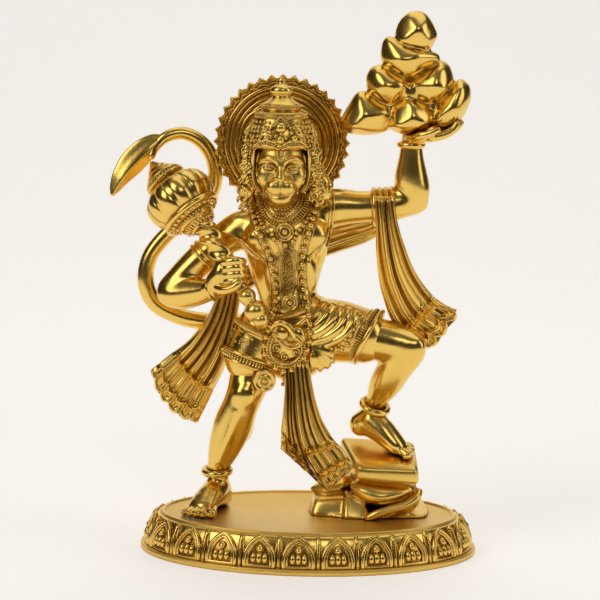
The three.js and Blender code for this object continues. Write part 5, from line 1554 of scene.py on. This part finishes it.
halo = {
    "x": (haloLow.x + haloHigh.x) / 2, "z": (haloLow.z + haloHigh.z) / 2,
    "radius": (haloHigh.z - haloLow.z) / 2, "teeth": 36, "toothDepth": 0.00135,
}
haloBack, haloFront = haloHigh.y, haloLow.y
haloThick = haloBack - haloFront
haloSides = halo["teeth"] * 8
haloTurn = np.arange(haloSides) / haloSides * 2 * math.pi
toothWave = np.abs((haloTurn * halo["teeth"] / (2 * math.pi)) % 1 - 0.5) * 2
outer = halo["radius"] - halo["toothDepth"] * (1 - toothWave)


# A raised round ring on the plate, as (part of the radius, part of the thickness) from outside in
def haloBead(middle, half, foot, top):
    angle = np.radians(np.linspace(0, 180, 9))
    return [(middle + half * math.cos(t), foot + (top - foot) * math.sin(t) ** 0.8) for t in angle]


# From the edge over the face to the middle, and from the middle over the back to the edge
haloSteps = [(0.998, 0.18), (1, 0.34), (0.99, 0.6), (0.975, 0.7), (0.96, 0.62), (0.945, 0.5), (0.92, 0.42),
             (0.87, 0.36), (0.85, 0.36)]
haloSteps += haloBead(0.812, 0.036, 0.4, 0.8) + [(0.772, 0.36)] + haloBead(0.748, 0.022, 0.36, 0.62)
haloSteps += [(0.72, 0.26), (0.7, 0.2)] + haloBead(0.672, 0.026, 0.2, 0.5) + [(0.642, 0.18)]
haloSteps += haloBead(0.607, 0.03, 0.2, 0.55) + [(0.574, 0.2), (0.56, 0.18), (0.3, 0.18)]
backSteps = [(0.3, 0.1), (0.6, 0.1), (0.63, 0.02), (0.66, 0.02), (0.69, 0.1), (0.82, 0.1), (0.85, 0),
             (0.9, 0), (0.97, 0)]


def haloRing(part, height, teeth):
    radius = part * (teeth * outer + (1 - teeth) * halo["radius"])
    x = halo["x"] + radius * np.cos(haloTurn)
    z = halo["z"] + radius * np.sin(haloTurn)
    return np.column_stack((x, haloBack - height * haloThick + 0 * x, z))


def haloMiddle(height):
    return (halo["x"], haloBack - height * haloThick, halo["z"])


metres = {"scale": 1, "origin": (0, 0, 0)}
# The teeth fade out from 0.94 to 0.88 of the radius
rings = [haloRing(part, height, float(np.clip((part - 0.88) / 0.06, 0, 1)))
         for part, height in backSteps + haloSteps]
haloShell = lofted(rings, haloMiddle(backSteps[0][1]), haloMiddle(haloSteps[-1][1]))
makePiece("haloPlate", [haloShell], haloGold, "halo", **metres)


# Lines on the plate, as part of the radius, drawn in shares
def haloLine(part, wave, height):
    points = haloRing(part, height, wave)[::3]  # every third, for a lighter wire
    points = np.vstack((points, points[:1]))
    return (points - (0, 0, field)) / share


wires("haloTeeth", [haloLine(0.975, 1, 0.75), haloLine(0.905, 0.9, 0.5)], 0.22, haloGold, "halo")
innerRing = [(-15.05, 6.6, 69.5), (-15.3, 6.6, 71.5), (-15.2, 6.6, 74), (-13.9, 6.6, 77.9),
             (-11.2, 6.6, 80), (-7.2, 6.6, 80.9), (-3.2, 6.6, 80.1), (0.36, 6.6, 77.8), (1.86, 6.6, 74.3),
             (1.94, 6.6, 70.9)]
wires("haloInnerRing", [smoothRows(innerRing, 8)], 0.5, haloGold, "halo")

print("plinth")

halfLength, halfWidth = (plinthHigh.x - plinthLow.x) / 2, (plinthHigh.y - plinthLow.y) / 2
rimTop = plinthHigh.z
plinth = {"height": 10.5, "sides": 280, "petals": 22, "leanLow": 1.8, "leanHigh": 4.5}
friezeInset, friezeFoot, friezeTop = 0.0028, 0.0019, 0.0078
# Inset from the foot's edge and height, in millimetres
plinthProfile = [
    (0.1, 0), (0, 0.15), (0, 1.2), (0.12, 1.45), (0.4, 1.55), (1.3, 1.6), (1.6, 1.7), (1.75, 2),
    (1.85, 2.4), (2, 3.2), (2.35, 4.6), (2.85, 6.2), (3.45, 7.7), (4.1, 9), (4.6, 9.6), (5, 9.75),
    (5.3, 9.8), (5.55, 9.85), (5.55, 10.1), (5.62, 10.3), (5.75, 10.45), (6, 10.5), (6.4, 10.5),
    (6.65, 10.42), (6.75, 10.05), (6.9, 10),
]
plinthTurn = np.arange(plinth["sides"]) / plinth["sides"] * 2 * math.pi


def ovalRing(inset, height):
    x, y = (halfLength - inset) * np.cos(plinthTurn), (halfWidth - inset) * np.sin(plinthTurn)
    return np.column_stack((x, y, height + 0 * x))


def ovalBody(name, profile, finish):
    rings = [ovalRing(inset * millimetre, height * rimTop / plinth["height"]) for inset, height in profile]
    makePiece(name, [lofted(rings, (0, 0, rings[0][0, 2]), (0, 0, rings[-1][0, 2]))], finish, "plinth",
              **metres)


# The wall behind the petals is a piece of its own, and the body is sunk a little behind it
friezeWall = plinthProfile[7:16]
sunk = [(inset + 0.25, height) for inset, height in friezeWall]
ovalBody("plinthBody", plinthProfile[:7] + sunk + plinthProfile[16:], satinGold)
ovalBody("friezeWall", [(4, 2)] + friezeWall + [(7.4, 9.75)], haloGold)

# The frieze: a flat row of petals and ribs, bent round the oval by Geometry Nodes
petalShape = {"foot": 0.1, "height": 7.55, "halfWidth": 3.9, "line": 0.58, "offset": -2.6}


def wireShell(path, radius, steps=1, sides=6):
    return swept([(*spot, radius) for spot in path], sides, steps, facing=upwards)


# Drawn in millimetres: x along the frieze, y up it, z proud of it
def petalShells():
    foot, height, half, line = (petalShape[key] for key in ("foot", "height", "halfWidth", "line"))
    side = [(1, 0), (1.02, 0.2), (0.97, 0.42), (0.8, 0.64), (0.5, 0.84), (0.22, 0.95)]
    arch = [(-half * x, foot + height * y) for x, y in side] + [(0, foot + height)]
    arch += [(half * x, foot + height * y) for x, y in side[::-1]]
    inner = [(x * 0.78, foot + 0.35 + (y - foot) * 0.84) for x, y in arch]
    shells = [wireShell([(x, y, 0.45) for x, y in smoothRows(arch, 3)], line),
              wireShell([(x, y, 0.25) for x, y in smoothRows(inner, 3)], line * 0.72)]
    shells.append(wireShell([(-half * 1.05, foot, 0.3), (0, foot, 0.3), (half * 1.05, foot, 0.3)],
                            line * 0.9, 4))
    ovals = [(0, foot + 4.7, 0.98, 0.98), (-1.55, foot + 2.15, 0.74, 1.35), (0, foot + 2.2, 0.76, 1.5),
             (1.55, foot + 2.15, 0.74, 1.35)]
    arc = np.radians(np.linspace(12, 168, 9))
    for x, y, wide, tall in ovals:
        rows = [(x, y - tall * math.cos(t), 0.42, max(wide * math.sin(t), 0.02)) for t in arc]
        shells.append(swept(rows, 10, 1, facing=upwards, domes=(0, 0)))
    return shells


def ribShells():
    low, high = petalShape["foot"] - 0.1, petalShape["foot"] + 7.5
    middle = (low + high) / 2
    shells = [wireShell([(x, low, 0.05), (x * 0.85, middle, 0.1), (x * 0.5, high - 1, 0.05)], 0.28, 5)
              for x in (-1, 1)]
    shells.append(swept([(0, low, 0.25, 0.6), (0, low + 1, 0.3, 0.46), (0, high - 2.4, 0.3, 0.52),
                         (0, high - 0.6, 0.3, 0.7), (0, high, 0.25, 0.6)], 12, 4, facing=upwards))
    return shells


def friezeTree():
    nodes, given = newTree("petalsRoundOval", [
        ("Oval", "Object"), ("Rib", "Object"), ("Pitch", "Float"), ("Start", "Float"),
        ("Lean Low", "Float"), ("Lean High", "Float"), ("Top", "Float"), ("Count", "Int"),
        ("Material", "Material")])
    rib = nodes.add("GeometryNodeObjectInfo", None, {"Object": given["Rib"]}, "Geometry")
    half = nodes.add("ShaderNodeCombineXYZ", None, {"X": given["Pitch"] * 0.5})
    besides = nodes.add("GeometryNodeTransform", None, {"Geometry": rib, "Translation": half})
    joint = nodes.tree.nodes.new("GeometryNodeJoinGeometry")
    for item in (given["Geometry"], besides):
        nodes.tree.links.new(item.socket, joint.inputs[0])
    both = Socket(nodes, joint.outputs[0])
    step = nodes.add("ShaderNodeCombineXYZ", None, {"X": given["Pitch"]})
    start = nodes.add("ShaderNodeCombineXYZ", None, {"X": given["Start"]})
    spots = nodes.add("GeometryNodeMeshLine", {"mode": "OFFSET"},
                      {"Count": given["Count"], "Start Location": start, "Offset": step})
    row = nodes.add("GeometryNodeInstanceOnPoints", None, {"Points": spots, "Instance": both})
    flat = nodes.add("GeometryNodeRealizeInstances", None, {0: row})
    here = nodes.add("GeometryNodeInputPosition")
    parts = nodes.add("ShaderNodeSeparateXYZ", None, {0: here})
    x, y, z = (Socket(nodes, parts.socket.node.outputs[name]) for name in "XYZ")
    oval = nodes.add("GeometryNodeObjectInfo", None, {"Object": given["Oval"]}, "Geometry")
    along = x.maths("FLOORED_MODULO", x, given["Pitch"] * given["Count"])
    sampled = nodes.add("GeometryNodeSampleCurve", {"mode": "LENGTH", "use_all_curves": True},
                        {"Curves": oval, "Length": along}, "Position")
    tangent = Socket(nodes, sampled.socket.node.outputs["Tangent"])
    outward = nodes.add("ShaderNodeVectorMath", {"operation": "CROSS_PRODUCT"}, {0: tangent, 1: (0, 0, 1)})
    rise = nodes.add("ShaderNodeMapRange", None, {"Value": y, "From Max": given["Top"], "To Max": 1.0})
    bow = rise * rise * (given["Lean High"] - given["Lean Low"]) + given["Lean Low"]
    out = nodes.add("ShaderNodeVectorMath", {"operation": "SCALE"}, {0: outward, "Scale": z - bow})
    up = nodes.add("ShaderNodeCombineXYZ", None, {"Z": y})
    placed = nodes.add("ShaderNodeVectorMath", {"operation": "ADD"}, {0: sampled, 1: out})
    lifted = nodes.add("ShaderNodeVectorMath", {"operation": "ADD"}, {0: placed, 1: up})
    bent = nodes.add("GeometryNodeSetPosition", None, {"Geometry": flat, "Position": lifted})
    return endTree(nodes, bent, given["Material"])


# The oval starts at the front and runs to the viewer's right, at the foot of the frieze
ovalTurn = np.radians(np.linspace(-90, 270, 721))
ovalX, ovalY = (halfLength - friezeInset) * np.cos(ovalTurn), (halfWidth - friezeInset) * np.sin(ovalTurn)
ovalLine = np.column_stack((ovalX, ovalY, 0 * ovalX))
petalPitch = np.linalg.norm(np.diff(ovalLine, axis=0), axis=1).sum() / plinth["petals"]
ovalCurve = curvesObject("friezeOval", [(ovalLine - (0, 0, field)) / share], True)
ribObject = intoScene("rib", meshOf("rib", ribShells(), millimetre, (0, 0, 0)))
petalObject = intoScene("petal", meshOf("petal", petalShells(), millimetre, (0, 0, 0)))
friezeValues = {
    "Oval": ovalCurve, "Rib": ribObject, "Pitch": petalPitch,
    "Start": petalPitch + petalShape["offset"] * millimetre,
    "Lean Low": plinth["leanLow"] * millimetre - friezeInset,
    "Lean High": plinth["leanHigh"] * millimetre - friezeInset,
    "Top": friezeTop, "Count": plinth["petals"], "Material": haloGold,
}
frieze = runTree(petalObject, friezeTree(), friezeValues, "friezePetals")
frieze.data.transform(Matrix.Translation((0, 0, friezeFoot)))
settle(frieze, haloGold, "plinth")
for item in (ribObject, ovalCurve):
    bpy.data.objects.remove(item)

print("studio")

studio = {
    "floor": (0.92, 0.89, 0.855, 1), "floorShade": (0.86, 0.84, 0.81, 1), "wall": (0.9, 0.875, 0.85, 1),
    "roomLow": (0.036, 0.029, 0.021, 1), "roomHigh": (0.17, 0.165, 0.16, 1),
    "glow": 0.42, "glowTint": (1.0, 0.97, 0.935, 1), "key": 3.2, "fill": 1.5, "top": 2.0, "front": 0.9,
}


def paleFinish():
    material = bpy.data.materials.new("paleFloor")
    material.use_nodes = True
    nodes = Nodes(material.node_tree)
    shader = material.node_tree.nodes["Principled BSDF"]
    place = nodes.add("ShaderNodeTexCoord", out="Object")
    tone = nodes.mixed(nodes.noise(place, 3.0, 2.0) * 0.2, studio["floor"], studio["floorShade"])
    material.node_tree.links.new(tone.socket, shader.inputs["Base Color"])
    shader.inputs["Roughness"].default_value = 0.7
    shader.inputs["Emission Color"].default_value = studio["glowTint"]
    shader.inputs["Emission Strength"].default_value = studio["glow"]
    return material


# Floor that sweeps up into the backdrop
sweepProfile = [(-0.55, 0.0), (0.35, 0.0)]
sweepProfile += [(0.35 + 0.5 * math.sin(t), 0.5 - 0.5 * math.cos(t))
                 for t in np.linspace(0.1, math.pi / 2, 14)]
sweepProfile += [(0.85, 1.6)]
floorPoints = [(x, y, z) for y, z in sweepProfile for x in (-0.7, 0.7)]
floorMesh = bpy.data.meshes.new("floor")
floorFaces = [(i, i + 1, i + 3, i + 2) for i in range(0, len(floorPoints) - 2, 2)]
floorMesh.from_pydata(floorPoints, [], floorFaces)
floorMesh.shade_smooth()
floorMesh.materials.append(paleFinish())
floor = intoScene("floor", floorMesh)


def softbox(name, place, target, size, power):
    light = bpy.data.lights.new(name, "AREA")
    light.shape = "RECTANGLE"
    light.size, light.size_y = size
    light.energy = power
    lamp = intoScene(name, light)
    lamp.location = place
    lamp.rotation_euler = (Vector(target) - Vector(place)).to_track_quat("-Z", "Y").to_euler()


softbox("keyLight", (-0.75, -0.6, 0.75), (0, 0, 0.07), (0.6, 0.8), studio["key"])
softbox("fillLight", (0.95, -0.3, 0.5), (0, 0, 0.07), (0.4, 0.9), studio["fill"])
softbox("topLight", (0.1, 0.2, 1.05), (0, 0, 0.05), (1.1, 0.7), studio["top"])
softbox("frontLight", (0.2, -0.95, 0.8), (0, 0, 0.07), (0.5, 0.3), studio["front"])

world = bpy.data.worlds.new("studioRoom")
bpy.context.scene.world = world
world.use_nodes = True
room = Nodes(world.node_tree)
direction = room.add("ShaderNodeTexCoord", out="Generated")
height = room.add("ShaderNodeSeparateXYZ", None, {0: direction}, "Z")
tones = [(0.5, studio["roomLow"]), (0.95, studio["roomHigh"])]
reflected = room.add("ShaderNodeValToRGB", {"stops": tones}, {0: height})
seen = room.add("ShaderNodeLightPath", out="Is Camera Ray")
wall = room.mixed(seen, reflected, studio["wall"])
background = world.node_tree.nodes["Background"]
world.node_tree.links.new(wall.socket, background.inputs["Color"])
background.inputs["Strength"].default_value = 1.0

print("camera")

# Fitted to the plinth's ovals in the photograph: millimetres, degrees and pixels of a 600 pixel frame
view = {"elevation": 8.05, "roll": 1.09, "focal": 2174.2, "right": -3.51, "height": 69.95,
        "distance": 600.0, "frame": 600, "sensor": 36}
rise, roll = math.radians(view["elevation"]), math.radians(view["roll"])
back = Vector((0, -math.cos(rise), math.sin(rise)))
right = Vector((1, 0, 0))
up = back.cross(right)
rolledRight = math.cos(roll) * right + math.sin(roll) * up
rolledUp = -math.sin(roll) * right + math.cos(roll) * up
camera = intoScene("camera", bpy.data.cameras.new("camera"))
place = Vector((0, 0, view["height"])) + right * view["right"] + back * view["distance"]
turnMatrix = Matrix((rolledRight, rolledUp, back)).transposed().to_4x4()
camera.matrix_world = Matrix.Translation(place * millimetre) @ turnMatrix
camera.data.sensor_width = view["sensor"]
camera.data.lens = view["focal"] / view["frame"] * view["sensor"]
camera.data.clip_start = 0.01
bpy.context.scene.camera = camera
bpy.context.scene.view_settings.view_transform = "Standard"
